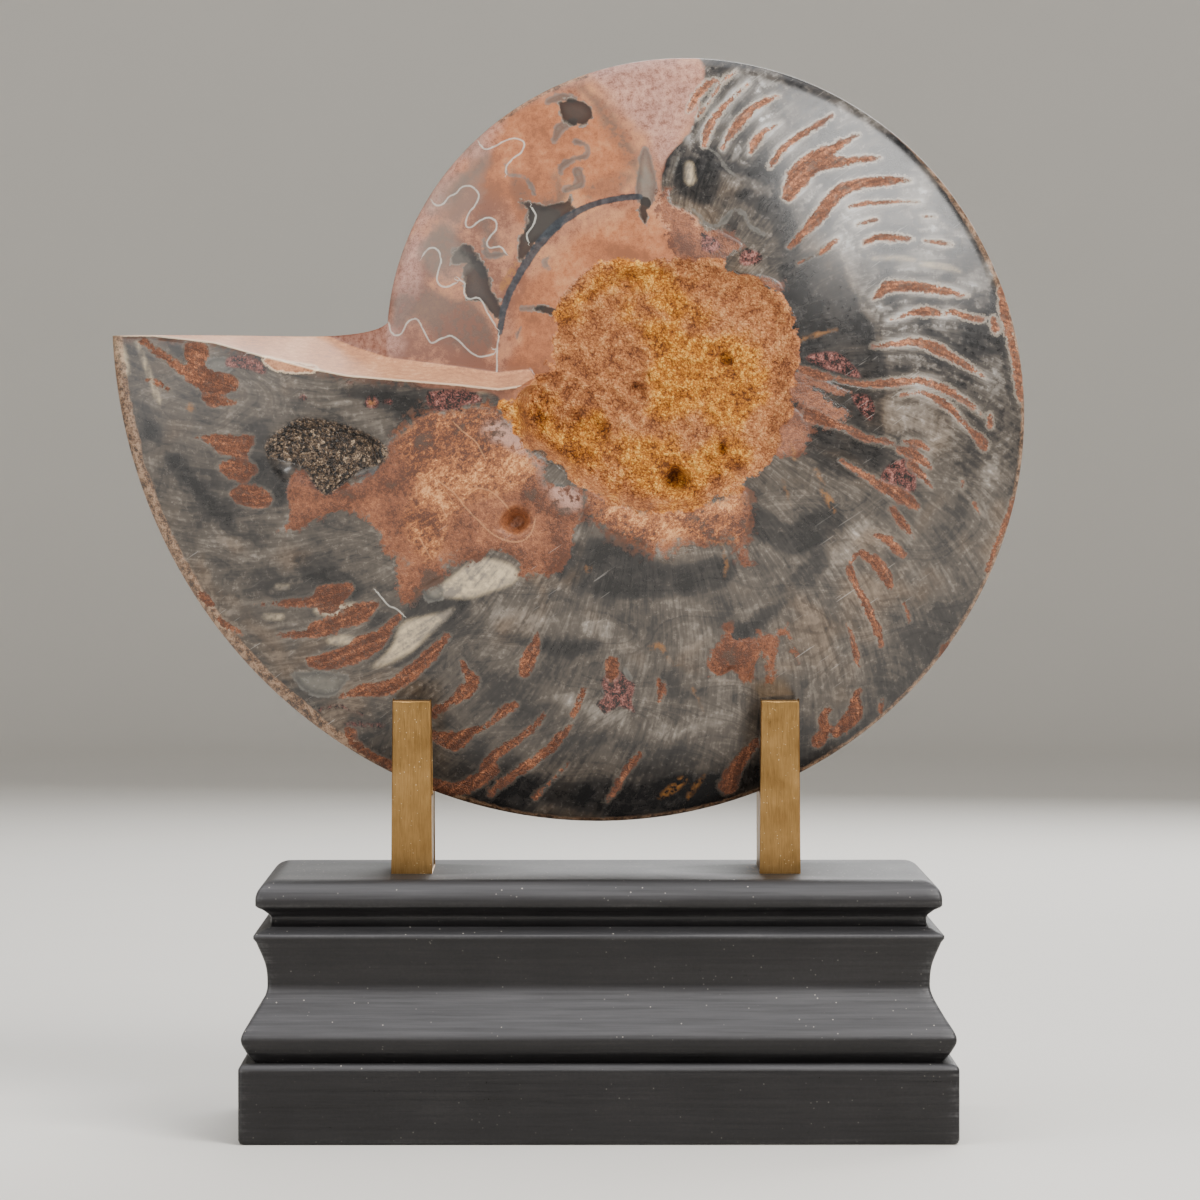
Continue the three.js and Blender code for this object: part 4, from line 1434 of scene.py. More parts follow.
    def swing(self, share: Array) -> Array:
        """Gives how far a rib leads its root: a power of its way out past the inner flank."""
        return self.rib_swing * np.maximum(share - self.rib_swing_start, 0) ** self.rib_swing_power

    def spiral_place(self, x: Array, z: Array, front: bool) -> tuple[Array, Array]:
        """Gives a place's angle along the spiral and its share of the whorl's outer radius.

        Args:
            x: places from the umbilicus, to the right.
            z: places from the umbilicus, upwards.
            front: whether the place is on the front face.

        Returns:
            Angles and shares.
        """
        angle = self.turn_angle(x, z)
        near = self.near_cut(x, angle)
        top = self.crust_at(x) if front else self.cut_top
        below = near & (z < top)
        signed = np.where(below & (angle > math.pi), angle - FULL_TURN, angle)
        signed = np.where(near & ~below & (angle < math.pi), angle + FULL_TURN, signed)
        return signed, np.hypot(x, z) / self.radius_at(signed)

    def back_slits(self) -> dict[str, Array]:
        """Lays slits of rust between the ribs of the back face.

        Each follows a rib's curve, from a random start to a random end, widest in the middle.

        Returns:
            Rows of x, z and width by name.
        """
        slits = {}
        share = np.linspace(0, 1, self.slit_points)
        bulge = np.sin(math.pi * np.clip(share, 0.04, 0.97)) ** 0.7
        for number in range(self.slit_count):
            chance = [float(lattice(np.array(number), np.array(part), 5.0)) for part in range(5)]
            start = self.slit_start[0] + self.slit_start[1] * chance[0]
            end = self.slit_end[0] + self.slit_end[1] * chance[1]
            reach = start + (end - start) * share
            root = self.slit_first + self.slit_spacing * (number + 0.5 * chance[2])
            angle = root - self.swing(reach)
            radius = reach * self.radius_at(angle)
            width = (self.slit_width[0] + self.slit_width[1] * chance[3] ** 2) * bulge
            if chance[4] > self.slit_gaps:
                x, z = -radius * np.cos(angle), -radius * np.sin(angle)
                slits[f"back_{number}"] = np.column_stack([x, z, width])
        return slits

    def build(self, name: str) -> bpy.types.Object:
        """Makes the fossil's closed mesh with its marks stored on it.

        Args:
            name: the piece's name.

        Returns:
            The object.
        """
        surface = Surface()
        rim = self.outline()
        on_cut = np.arange(len(rim)) > self.columns - self.cut_columns
        rim_depth = np.where(on_cut, -self.front_height(rim[:, 0], rim[:, 1]), 0.0)
        rim_numbers = surface.add(np.stack([rim[:, 0], rim_depth, rim[:, 1]], axis=-1))
        back_margin = self.add_side(surface, rim, rim_depth, rim_numbers, self.back_side())
        surface.flipped()
        front_start = surface.count
        front_margin = self.add_side(surface, rim, rim_depth, rim_numbers, self.front_side())
        places = surface.all_places()
        x, z = places[:, 0], places[:, 2]
        front = np.arange(len(x)) >= front_start
        front[: len(rim)] = True
        margin = np.concatenate([np.zeros(len(rim)), back_margin, front_margin])
        marks = Marks(self).paint(x, z, front, margin)
        angle, share = self.spiral_place(x, z, True)
        back_angle, back_share = self.spiral_place(x, z, False)
        angle, share = np.where(front, angle, back_angle), np.where(front, share, back_share)
        surface.places = [places + np.array([self.umbilicus[0], 0, self.umbilicus[1]])]
        piece = surface.to_object(name)
        for mark, values in marks.items():
            put_attribute(piece, mark, values)
        across, along = self.flow_scale
        put_map(piece, "flow", (angle + self.swing(share)) * across, share * along)
        return piece


@dataclass
class Marks:
    """Signed distances, in mm, from each place of the fossil to the edge of each kind of area."""

    fossil: Ammonite
    far: float = 6.0
    round_steps: int = 4
    vein_reach: float = 1.3

    def nearer(self, best: Array, x: Array, z: Array, shape: Array, measure: Callable) -> None:
        """Lowers distances to those from one more shape, near it only.

        Args:
            best: the distances so far, which are changed.
            x: places from the umbilicus, to the right.
            z: places from the umbilicus, upwards.
            shape: rows of the shape.
            measure: stroke_distance or outline_distance.
        """
        low, high = shape[:, :2].min(0) - self.far, shape[:, :2].max(0) + self.far
        close = (x > low[0]) & (x < high[0]) & (z > low[1]) & (z < high[1])
        best[close] = np.minimum(best[close], measure(x[close], z[close], shape))

    def area(self, fill: Fill, x: Array, z: Array) -> Array:
        """Gives the distance to the nearest stroke or outline of one fill, negative inside."""
        best = np.full(x.shape, self.far)
        for stroke in STROKES.get(fill, {}).values():
            shape = resampled(self.fossil.on_face(np.array(stroke, float)), self.round_steps)
            self.nearer(best, x, z, shape, stroke_distance)
        for outline in OUTLINES.get(fill, {}).values():
            shape = resampled(self.fossil.on_face(np.array(outline, float)), 2, closed=True)
            self.nearer(best, x, z, shape, outline_distance)
        return best

    def veins(self, x: Array, z: Array) -> tuple[Array, Array]:
        """Measures the hairlines: the distance across the nearest one, with a sign for its side.

        The sign changes at the line, so that the line stays sharp between the mesh's places.
        A second number fades to 0 away from the lines.

        Args:
            x: places from the umbilicus, to the right.
            z: places from the umbilicus, upwards.

        Returns:
            The signed distance, and the nearness from 0 to 1.
        """
        away = np.full(x.shape, self.far)
        across = np.full(x.shape, self.far)
        for outline in VEINS.values():
            line = resampled(self.fossil.on_face(np.array(outline, float)), self.round_steps)
            for (ax, az), (bx, bz) in zip(line[:-1], line[1:]):
                close = (np.abs(x - ax) < self.far) & (np.abs(z - az) < self.far)
                distance = from_line(x[close], z[close], (ax, az), (bx, bz))[0]
                side = np.sign((x[close] - ax) * (bz - az) - (z[close] - az) * (bx - ax))
                nearest = distance < away[close]
                across[close] = np.where(nearest, side * distance, across[close])
                away[close] = np.where(nearest, distance, away[close])
        return across, 1 - smoothstep(0.6 * self.vein_reach, self.vein_reach, away)

    def tones(self, x: Array, z: Array, marks: dict[str, Array]) -> None:
        """Adds the grey calcite's lightness and the broad patterns that its material starts from.

        Noise pushed about by noise gives clouds, and the same folded at zero gives marbling.
        The dark areas, one a painted shadow along a groove, and the lighter ones, part painted sheen,
        are laid on softly. The upper right, where ribs show, is lighter.

        Args:
            x: places from the umbilicus, to the right.
            z: places from the umbilicus, upwards.
            marks: the values by attribute name, which grow.
        """
        angle = np.degrees(self.fossil.turn_angle(x, z))
        share = np.hypot(x, z) / self.fossil.radius_at(np.radians(angle))
        pushed_x = x + 5 * fractal(x, z, 16, 2, 103)
        pushed_z = z + 5 * fractal(x, z, 16, 2, 107)
        cloud = fractal(pushed_x, pushed_z, 24, 3, 101)
        middle = fractal(pushed_x, pushed_z, 6, 3, 131)
        marble = 1 - 2 * np.abs(fractal(pushed_x, pushed_z, 13, 3, 151)) ** 0.7
        ribbed = plateau(angle, 150, 195, 285, 305) * smoothstep(0.56, 0.68, share)
        dark = 1 - smoothstep(-0.9, 1.1, marks[Fill.SLATE.value] + 1.1 * middle)
        # The lighter areas, part of them painted sheen.
        pale = 1 - smoothstep(-2.0, 2.0, marks[Fill.PALE.value] + 1.6 * middle)
        underside = plateau(angle, 30, 70, 120, 150) * smoothstep(0.86, 1, share)
        tone = 0.39 + 0.12 * cloud + 0.12 * middle + 0.06 * marble + 0.03 * ribbed - 0.14 * underside
        lower = plateau(angle, 55, 85, 125, 160) * (1 - smoothstep(0.8, 0.9, share))
        marks["tone"] = tone + 0.03 * lower - 0.25 * dark + (0.15 - 0.07 * ribbed) * pale
        marks["cloud"], marks["middle"], marks["ribbed"], marks["lower"] = cloud, middle, ribbed, lower
        marks["lens"] = fractal(pushed_x / 2.6, pushed_z, 10, 2, 171)
        left = smoothstep(351, 356, angle) + 1 - smoothstep(48, 75, angle)
        right = plateau(angle, 178, 190, 215, 232)
        thin = 1 - 0.25 * right + 0.5 * plateau(angle, 205, 225, 262, 275)
        marks["margin"] = marks["margin"] + 1.7 * (1 - left) * thin + 0.5 * left * middle

    def paint(self, x: Array, z: Array, front: Array, margin: Array) -> dict[str, Array]:
        """Works out every mark on both faces.

        The back has the same broad areas as the front, pushed about, and slits of its own.

        Args:
            x: places from the umbilicus, to the right.
            z: places from the umbilicus, upwards.
            front: which places are on the front.
            margin: distances from the rim.

        Returns:
            Values by attribute name.
        """
        marks: dict[str, Array] = {"margin": margin}
        back = ~front
        pushed_x = x[back] + 7 * fractal(x[back], z[back], 30, 3, 81)
        pushed_z = z[back] + 7 * fractal(x[back], z[back], 30, 3, 89)
        shared = (
            Fill.RUST, Fill.MAROON, Fill.PINK, Fill.WARM, Fill.SLATE, Fill.PALE, Fill.CREAM, Fill.SMOKE,
        )
        for fill in Fill:
            values = np.full(x.shape, self.far)
            values[front] = self.area(fill, x[front], z[front])
            if fill in shared:
                values[back] = self.area(fill, pushed_x, pushed_z)
            marks[fill.value] = values
        marks[Fill.SEAM.value][back] = self.area(Fill.SEAM, x[back], z[back])
        for slit in self.fossil.back_slits().values():
            distance = marks[Fill.GRIT.value][back]
            self.nearer(distance, x[back], z[back], slit, stroke_distance)
            marks[Fill.GRIT.value][back] = distance
        angle = self.fossil.turn_angle(x, z)
        wobble = self.fossil.core_wobble * (fractal(x, z, 7, 3, 41) + fractal(x, z, 2.6, 2, 47))
        core = np.hypot(x, z) + wobble - self.fossil.core_edge(angle)
        marks[Fill.CORE.value] = np.where(front, np.minimum(marks[Fill.CORE.value], core), core)
        marks["across"], marks["near"] = self.veins(x, z)
        marks["near"] = np.where(front, marks["near"], 0.0)
        marks["cut"], marks["crust"] = self.cut_face(x, z, front)
        # The core's relief, which the material also uses to paint shade in its crevices.
        marks["grains"] = self.fossil.core_grains(x, z)
        self.tones(x, z, marks)
        return marks

    def cut_face(self, x: Array, z: Array, front: Array) -> tuple[Array, Array]:
        """Gives how far inside the cut face a place is, and how far from its front edge."""
        fossil = self.fossil
        angle = fossil.turn_angle(x, z)
        radius = np.hypot(x, z)
        later = np.where(angle < math.pi, angle + FULL_TURN, angle)
        proud = fossil.front_height(x, z) - fossil.flank(radius, later)
        above = z - fossil.crust_at(x)
        on_cut = fossil.near_cut(x, angle) & front & (radius > fossil.core_edge(angle) + 1)
        inside = np.where(on_cut, np.minimum(above, 1.2 * (proud - 0.3)), -self.far)
        return inside, np.where(on_cut, np.minimum(np.abs(above), self.far), self.far)


@dataclass(frozen=True)
class Noises:
    """The patterns that all layers of the stone share. Cloudy and grainy are fine and grain about 0."""

    fine: Signal
    grain: Signal
    cloudy: Signal
    grainy: Signal
    streak: Signal
    fold: Signal
    facets: Signal
    middle: Signal
    cloud: Signal
    ribbed: Signal


@dataclass(frozen=True)
class FossilStone:
    """Polished fossil: grey calcite with rust between the ribs, a pink matrix and a rough core."""

    black: Colour = srgb(20, 18, 17)
    slate: Colour = srgb(24, 23, 23)
    dark_grey: Colour = srgb(48, 45, 43)
    mid_grey: Colour = srgb(78, 71, 64)
    light_grey: Colour = srgb(124, 116, 107)
    white_grey: Colour = srgb(190, 185, 179)
    umber: Colour = srgb(78, 44, 28)
    rust_dark: Colour = srgb(104, 60, 38)
    rust: Colour = srgb(128, 77, 50)
    rust_light: Colour = srgb(162, 104, 68)
    maroon: Colour = srgb(62, 34, 32)
    rose: Colour = srgb(140, 92, 84)
    pink_dark: Colour = srgb(112, 72, 56)
    pink: Colour = srgb(150, 102, 78)
    tan: Colour = srgb(180, 126, 88)
    orange_brown: Colour = srgb(162, 96, 58)
    cut_tan: Colour = srgb(188, 132, 94)
    cut_light: Colour = srgb(220, 172, 134)
    cream: Colour = srgb(206, 186, 152)
    ochre: Colour = srgb(138, 92, 44)
    gold_dark: Colour = srgb(98, 52, 10)
    gold: Colour = srgb(190, 118, 30)
    gold_light: Colour = srgb(244, 186, 84)
    core_brown: Colour = srgb(172, 110, 70)
    core_pink: Colour = srgb(206, 146, 104)
    polish_roughness: float = 0.25
    ior: float = 1.45

    def distance(self, g: Graph, fill: Fill, *wobble: Signal) -> Signal:
        """Gives a fill's stored distance in mm, pushed about by noises that are already in mm."""
        value = g.attribute(fill.value)
        for push in wobble:
            value = value + push
        return value

    def greys(self, g: Graph, grit: Signal, noises: Noises) -> Signal:
        """Colours the grey calcite.

        The stored tone is made finer with clouds and streaks. Thin contour lines follow a stored
        noise. Where ribs show, the tone goes from a light outline beside each slit through grey to
        a white band midway to the next.

        Args:
            g: the material's graph.
            grit: distance to the nearest slit.
            noises: the shared patterns.

        Returns:
            The colour.
        """
        fine, streak, middle = noises.fine, noises.streak, noises.middle
        cloudy, ribbed = noises.cloudy, noises.ribbed
        contour = (g.attribute("lens") * 26.0 + fine * 2.0).math("SINE")
        lines = contour.rise(0.8, 0.99) * 0.05 - contour.rise(-0.85, -0.99) * 0.06
        halo = g.ramp(grit * 0.25 + cloudy * 0.2, [
            (0.02, (0.8,) * 3),
            (0.16, (0.74,) * 3),
            (0.36, (0.3,) * 3),
            (0.48, (0.34,) * 3),
            (0.62, (0.66,) * 3),
            (0.75, (0.56,) * 3),
            (0.95, (0.34,) * 3),
        ])
        tone = g.attribute("tone") + cloudy * 0.36 + (streak - 0.5) * 0.46
        patch = fine * 0.3 + streak * 0.5 + middle * 0.4
        tone = tone + patch.rise(0.42, 0.45) * 0.03 - patch.rise(0.34, 0.31) * 0.03
        tone = tone + ribbed * (middle * 0.34 + cloudy * 0.3 - 0.05)
        tone = tone + lines * (1.15 - ribbed) + (halo - 0.52) * ribbed * (streak * 0.5 + 0.2)
        grey = g.ramp(tone, [
            (0.06, self.slate),
            (0.28, self.dark_grey),
            (0.48, self.mid_grey),
            (0.7, self.light_grey),
            (0.98, self.white_grey),
        ])
        warm = (middle * 0.6 + noises.cloud * 0.7).rise(0.05, 0.6)
        grey = g.blend(warm * (1 - ribbed) * 0.6, grey, srgb(228, 202, 176), "MULTIPLY")
        return g.blend(ribbed * 0.8, grey, srgb(236, 244, 255), "MULTIPLY")

    def pinks(self, g: Graph, under: Signal, noises: Noises) -> tuple[Signal, Signal]:
        """Lays the pink matrix of the earlier whorl over the greys, with its blots and lines.

        Args:
            g: the material's graph.
            under: the colour so far.
            noises: the shared patterns.

        Returns:
            The new colour, and how pink each place is.
        """
        fine, grain, middle = noises.fine, noises.grain, noises.middle
        cloudy, grainy = noises.cloudy, noises.grainy
        pink = self.distance(g, Fill.PINK, middle * 1.0, cloudy * 1.2)
        in_pink = pink.rise(0.4, -0.4)
        tone = 0.42 + middle * 0.34 + noises.cloud * 0.24 + cloudy * 0.8 + grainy * 0.4
        plain = g.ramp(tone, [(0.28, self.pink_dark), (0.5, self.pink), (0.75, self.tan)])
        warm = self.distance(g, Fill.WARM, middle * 2.6).rise(2.2, -2.6)
        plain = g.blend(warm * 0.7, plain, g.ramp(tone, [
            (0.2, srgb(128, 78, 50)), (0.5, self.orange_brown), (0.8, self.tan),
        ]))
        mauve = self.distance(g, Fill.MAUVE, middle * 2.4).rise(2.4, -2.4)
        speckled = g.ramp(grainy * 0.5 + fine, [
            (0.3, srgb(124, 86, 74)), (0.42, srgb(154, 112, 100)), (0.68, srgb(188, 148, 132)),
        ])
        plain = g.blend(mauve * 0.7, plain, speckled)
        smoke = self.distance(g, Fill.SMOKE, middle * 1.6).rise(1.4, -1.4)
        mottled = (fine + middle * 0.3).rise(0.4, 0.56)
        plain = g.blend(smoke * (mottled * 0.5 + 0.25), plain, srgb(78, 68, 62))
        specks = grain.rise(0.6, 0.68) * fine.rise(0.45, 0.6)
        colour = g.blend(in_pink, under, g.blend(specks * 0.6, plain, self.umber))
        wiggle = middle * 1.9 + cloudy * 3.0
        calcite = self.distance(g, Fill.CALCITE, middle * 0.6, cloudy * 1.6)
        blot_colour = g.ramp(calcite * -0.3 + cloudy * 0.8 + 0.3, [
            (0.2, srgb(116, 113, 107)), (0.45, srgb(70, 69, 66)), (0.8, srgb(104, 101, 94)),
        ])
        colour = g.blend(calcite.rise(0.3, -0.2) * (fine * 0.6 + 0.45), colour, blot_colour)
        dark = self.distance(g, Fill.SLATE, wiggle)
        dark_colour = g.ramp(dark * -0.4 + cloudy * 0.6, [
            (0.0, self.light_grey), (0.07, self.mid_grey), (0.2, self.slate), (0.9, self.dark_grey),
        ])
        colour = g.blend(dark.rise(0.12, -0.05) * in_pink * 0.92, colour, dark_colour)
        # Lighter areas on the pink whorl; along its left rim they are painted sheen.
        pale = self.distance(g, Fill.PALE, wiggle)
        colour = g.blend(pale.rise(1.0, -1.4) * in_pink * 0.3, colour, self.light_grey)
        return colour, in_pink

    def rusts(self, g: Graph, under: Signal, noises: Noises) -> tuple[Signal, Signal]:
        """Lays the wrinkled rust, the maroon and the ochre over the colour so far.

        Args:
            g: the material's graph.
            under: the colour so far.
            noises: the shared patterns.

        Returns:
            The new colour, and how rusty each place is.
        """
        fine, grain, middle = noises.fine, noises.grain, noises.middle
        cloudy, grainy = noises.cloudy, noises.grainy
        rust = self.distance(g, Fill.RUST, middle * 2.2, cloudy * 4.6, grainy * 0.9)
        soft = g.attribute(Fill.GILT.value).rise(5.5, 2.0)
        feathered = (rust + cloudy * 6.0 + middle * 1.5).rise(1.3, -1.5)
        sharp = rust.rise(0.45, -0.35)
        in_rust = sharp + (feathered - sharp) * soft
        wrinkle = noises.fold.rise(0.34, 0.02)
        tone = 0.37 + middle * 0.4 + grainy * 0.6 + cloudy * 0.9 + (noises.facets - 0.5) * 0.2
        tone = tone + g.attribute(Fill.CORE.value).rise(5.5, 0.5) * g.attribute("lower") * 0.2
        plain = g.ramp(tone + wrinkle * 0.05, [
            (0.2, self.umber), (0.36, self.rust_dark), (0.56, self.rust), (0.86, self.rust_light),
        ])
        golden = g.ramp(tone + wrinkle * 0.2, [
            (0.22, self.umber), (0.4, srgb(120, 70, 40)), (0.6, srgb(166, 102, 56)),
            (0.9, srgb(226, 166, 106)),
        ])
        gilt = self.distance(g, Fill.GILT, middle * 2.0, cloudy * 4.0).rise(2.0, -2.0)
        plain = g.blend(gilt * 0.85, plain, golden)
        blushed = self.distance(g, Fill.MAUVE, middle * 1.6).rise(1.4, -1.4)
        plain = g.blend(blushed * fine.rise(0.36, 0.56) * 0.7, plain, srgb(186, 146, 130))
        smudge = (middle + noises.cloud * 0.6 + cloudy * 1.2).rise(-0.5, -0.72)
        plain = g.blend(smudge * 0.5, plain, srgb(66, 58, 50))
        colour = g.blend(in_rust * 0.96, under, plain)
        broken = (cloudy * 1.3, grainy * 0.7)
        maroon = self.distance(g, Fill.MAROON, middle * 0.6, *broken)
        marbled = g.ramp(cloudy * 1.6 + grainy * 0.9 + 0.5, [
            (0.3, self.black), (0.42, self.maroon), (0.62, srgb(104, 60, 54)), (0.8, self.rose),
        ])
        colour = g.blend(maroon.rise(0.3, -0.3) * 0.93, colour, marbled)
        ochre = self.distance(g, Fill.OCHRE, middle * 0.8, *broken)
        colour = g.blend(ochre.rise(0.5, -0.5) * fine.rise(0.4, 0.58) * 0.7, colour, self.ochre)
        return colour, in_rust

    def build(self) -> bpy.types.Material:
        """Makes the material, layer over layer from the greys up.

        Each area's mask is its stored distance, pushed about by noise so that its edge is
        broken, and cut off by a short smooth step.
        """
        g = Graph("polished_fossil")
        place = g.millimetres()
        flow = g.add("ShaderNodeUVMap", {"uv_map": "flow"}, {}).out()
        fine = g.noise(place, 0.75, 3.0)
        grain = g.noise(place, 3.0, 2.0)
        granules = g.cells(place, 1.5)
        facets, rounds = granules.out("Color"), granules.out("Distance")
        streak = g.noise(g.stretched(flow, (1.1, 0.14, 1.0)), 1.0, 3.0)
        fold = (g.noise(g.turned(place, (0.0, 0.7, 0.0), (0.2, 0.4, 0.5)), 1.0, 3.0) - 0.5).size() * 5.0
        middle, ribbed = g.attribute("middle"), g.attribute("ribbed")
        cloudy, grainy = fine - 0.5, grain - 0.5
        noises = Noises(
            fine, grain, cloudy, grainy, streak, fold, facets, middle, g.attribute("cloud"), ribbed,
        )
        broken = (cloudy * 1.1, grainy * 0.6)
        grit = self.distance(g, Fill.GRIT, middle * 0.5, cloudy * 2.0, grainy * 0.7)
        colour = self.greys(g, grit, noises)

        cream = self.distance(g, Fill.CREAM, *broken)
        cream_colour = g.ramp(fine * 0.6 + streak * 0.5 + middle * 0.2, [
            (0.4, srgb(138, 128, 116)), (0.62, self.cream),
        ])
        colour = g.blend(cream.rise(0.7, -0.9) * (fine * 0.3 + 0.6), colour, cream_colour)
        colour, in_pink = self.pinks(g, colour, noises)
        colour, in_rust = self.rusts(g, colour, noises)

        rimmed = ribbed * 0.45 + 0.1
        colour = g.blend(grit.rise(0.6, 0.3) * (fine + 0.3) * rimmed, colour, srgb(180, 168, 152))
        in_grit = grit.rise(0.15, -0.15) * (fine.rise(0.3, 0.5) * 0.3 + 0.68)
        grit_tone = grainy * 0.8 + (facets - 0.5) * 0.3 + (streak - 0.5) * 0.9 + middle * 0.14
        grit_colour = g.ramp(grit_tone + ribbed * 0.1 + 0.4, [
            (0.28, self.umber), (0.42, self.rust_dark), (0.55, self.rust), (0.75, srgb(188, 122, 84)),
        ])
        colour = g.blend(in_grit * 0.97, colour, grit_colour)

        seam = self.distance(g, Fill.SEAM, cloudy * 0.5)
        seam_colour = g.ramp(fine, [(0.35, srgb(30, 35, 41)), (0.7, srgb(58, 63, 69))])
        colour = g.blend(seam.rise(0.2, -0.15) * 0.94, colour, seam_colour)
        line = (g.attribute("across") + cloudy * 0.4).size()
        vein = line.rise(0.24, 0.1) * g.attribute("near").rise(0.1, 0.4)
        vein_colour = g.blend(in_rust, srgb(182, 180, 172), srgb(186, 134, 92))
        colour = g.blend(vein * (fine * 0.9 + 0.2) * (1 - in_rust * 0.3), colour, vein_colour)

        druse = self.distance(g, Fill.DRUSE, *broken)
        in_druse = druse.rise(0.5, -0.3)
        druse_tone = facets * 0.75 + grainy * 1.2 + cloudy * 0.9
        druse_colour = g.ramp(druse_tone, [
            (0.1, self.black), (0.34, srgb(52, 42, 34)), (0.62, srgb(98, 80, 64)),
            (0.95, srgb(178, 156, 130)),
        ])
        colour = g.blend(in_druse, colour, druse_colour)

        core = self.distance(g, Fill.CORE, middle * 1.2, cloudy * 2.6, grainy * 1.2)
        in_core = core.rise(0.25, -0.3)
        gold = self.distance(g, Fill.GOLD, middle * 5.0, cloudy * 6.0).rise(3.0, -3.0)
        # Lower relief and the edges of the grains are darker: painted shade in the core's crevices.
        core_tone = g.attribute("grains") * 0.34 + 0.66 + grainy * 1.0 + cloudy * 0.4
        core_tone = core_tone + (facets - 0.5) * 0.3 - rounds * 0.36
        golden = g.ramp(core_tone, [
            (0.14, self.gold_dark), (0.32, srgb(146, 84, 18)), (0.52, self.gold), (0.86, self.gold_light),
        ])
        brownish = g.ramp(core_tone, [
            (0.05, self.rust_dark), (0.26, srgb(136, 82, 50)), (0.48, self.core_brown),
            (0.86, self.core_pink),
        ])
        colour = g.blend(in_core, colour, g.blend(gold * 0.75 + 0.2, brownish, golden))

        cut = g.attribute("cut")
        in_cut = cut.rise(-0.1, 0.2)
        brink = g.attribute("crust")
        # Painted shade just below the cut's front edge.
        under_crust = brink.rise(2.4, 0.2) * (1 - in_cut) * fine.rise(0.4, 0.55)
        colour = g.blend(under_crust * 0.65, colour, self.umber)
        cut_tone = 0.5 + middle * 0.16 + cloudy * 0.7 + grainy * 0.3
        cut_colour = g.ramp(cut_tone, [(0.25, self.pink), (0.5, self.cut_tan), (0.8, self.cut_light)])
        colour = g.blend(in_cut, colour, cut_colour)
        chip = self.distance(g, Fill.CHIP, *broken)
        chip_colour = g.ramp(cut_tone, [(0.3, self.rust_dark), (0.6, self.cut_tan)])
        colour = g.blend(chip.rise(0.1, -0.2), colour, chip_colour)
        # Painted highlight along the cut's front edge and round the chip's rim.
        crust = (brink + cloudy * 0.5).rise(0.32, 0.12) + chip.rise(0.35, 0.1) * chip.rise(-0.35, -0.1)
        colour = g.blend(crust * (0.1 + fine) * 0.9, colour, srgb(226, 202, 170))

        shell = (g.attribute("margin") + cloudy * 1.6).rise(2.7, 2.2) * (1 - in_cut) * (1 - in_grit)
        shell = shell * g.attribute(Fill.MAUVE.value).rise(-1.2, 1.0)
        shell_colour = g.ramp(cloudy * 1.3 + grainy * 0.7 + 0.5, [
            (0.3, srgb(58, 46, 38)), (0.48, srgb(120, 88, 64)), (0.66, srgb(166, 136, 110)),
        ])
        colour = g.blend(shell * 0.72, colour, shell_colour)

        smooth = (1 - in_core) * (1 - in_druse) * (1 - in_grit) * (1 - in_pink)
        smooth = smooth * noises.cloud.rise(0.0, 0.5)
        colour = g.blend(self.scratches(g, place) * smooth * 0.3, colour, self.white_grey)

        rough = self.polish_roughness + cloudy * 0.2 + in_grit * 0.4 + in_rust * 0.14 + in_pink * 0.1
        rough = rough + in_core * 0.6 + in_cut * 0.3 + in_druse * 0.05 + shell * 0.15
        raw = {
            fill: g.attribute(fill.value).rise(0.3, -0.5)
            for fill in (Fill.GRIT, Fill.RUST, Fill.CORE, Fill.DRUSE)
        }
        relief = raw[Fill.GRIT] * (grain * 0.4 - 0.25) + raw[Fill.RUST] * (grain - middle) * 0.2
        relief = relief + (raw[Fill.CORE] + raw[Fill.DRUSE] * 0.7) * (grain * 0.8 - rounds * 0.7)
        relief = relief + brink.rise(0.7, 0.2) * 0.1
        return g.surface(colour, rough.least(0.97), relief, IOR=self.ior)

    def scratches(self, g: Graph, place: Signal) -> Signal:
        """Gives sparse hairline scratches: stretched noise, cut off high up."""
        return g.noise(g.turned(place, (0.0, 0.6, 0.0), (0.14, 0.3, 3.4)), 1.0, 1.0).rise(0.7, 0.74)


@dataclass(frozen=True)
class BrushedBrass:
    """Raw brass bar, brushed lengthways, with a little dust and tarnish."""

    clean: Colour = srgb(170, 134, 84)
    dull: Colour = srgb(134, 102, 58)
    bright: Colour = srgb(235, 215, 170)
    roughness: float = 0.36

    def build(self) -> bpy.types.Material:
        """Makes the material: streaks up the bar change its colour, roughness and relief."""
        g = Graph("brushed_brass")
        place = g.millimetres()
        streaks = g.noise(g.stretched(place, (11.0, 11.0, 0.5)), 1.0, 2.0)
        broad = g.noise(g.stretched(place, (3.2, 3.2, 0.2)), 1.0, 2.0)
        cloud = g.noise(place, 0.14, 3.0)
        tone = (streaks - 0.5) * 0.8 + (broad - 0.5) * 0.5 + (cloud - 0.5) * 0.9 + 0.5
        colour = g.ramp(tone, [(0.2, self.dull), (0.8, self.clean)])
        specks = g.cells(place, 1.3).out("Distance").rise(0.13, 0.06) * cloud.rise(0.44, 0.55)
        colour = g.blend(specks * 0.8, colour, self.bright)
        rough = self.roughness + (streaks - 0.5) * 0.3 + (cloud - 0.5) * 0.2
        relief = streaks * 0.012 + broad * 0.01 + specks * 0.02
        return g.surface(colour, rough, relief, Metallic=1.0)


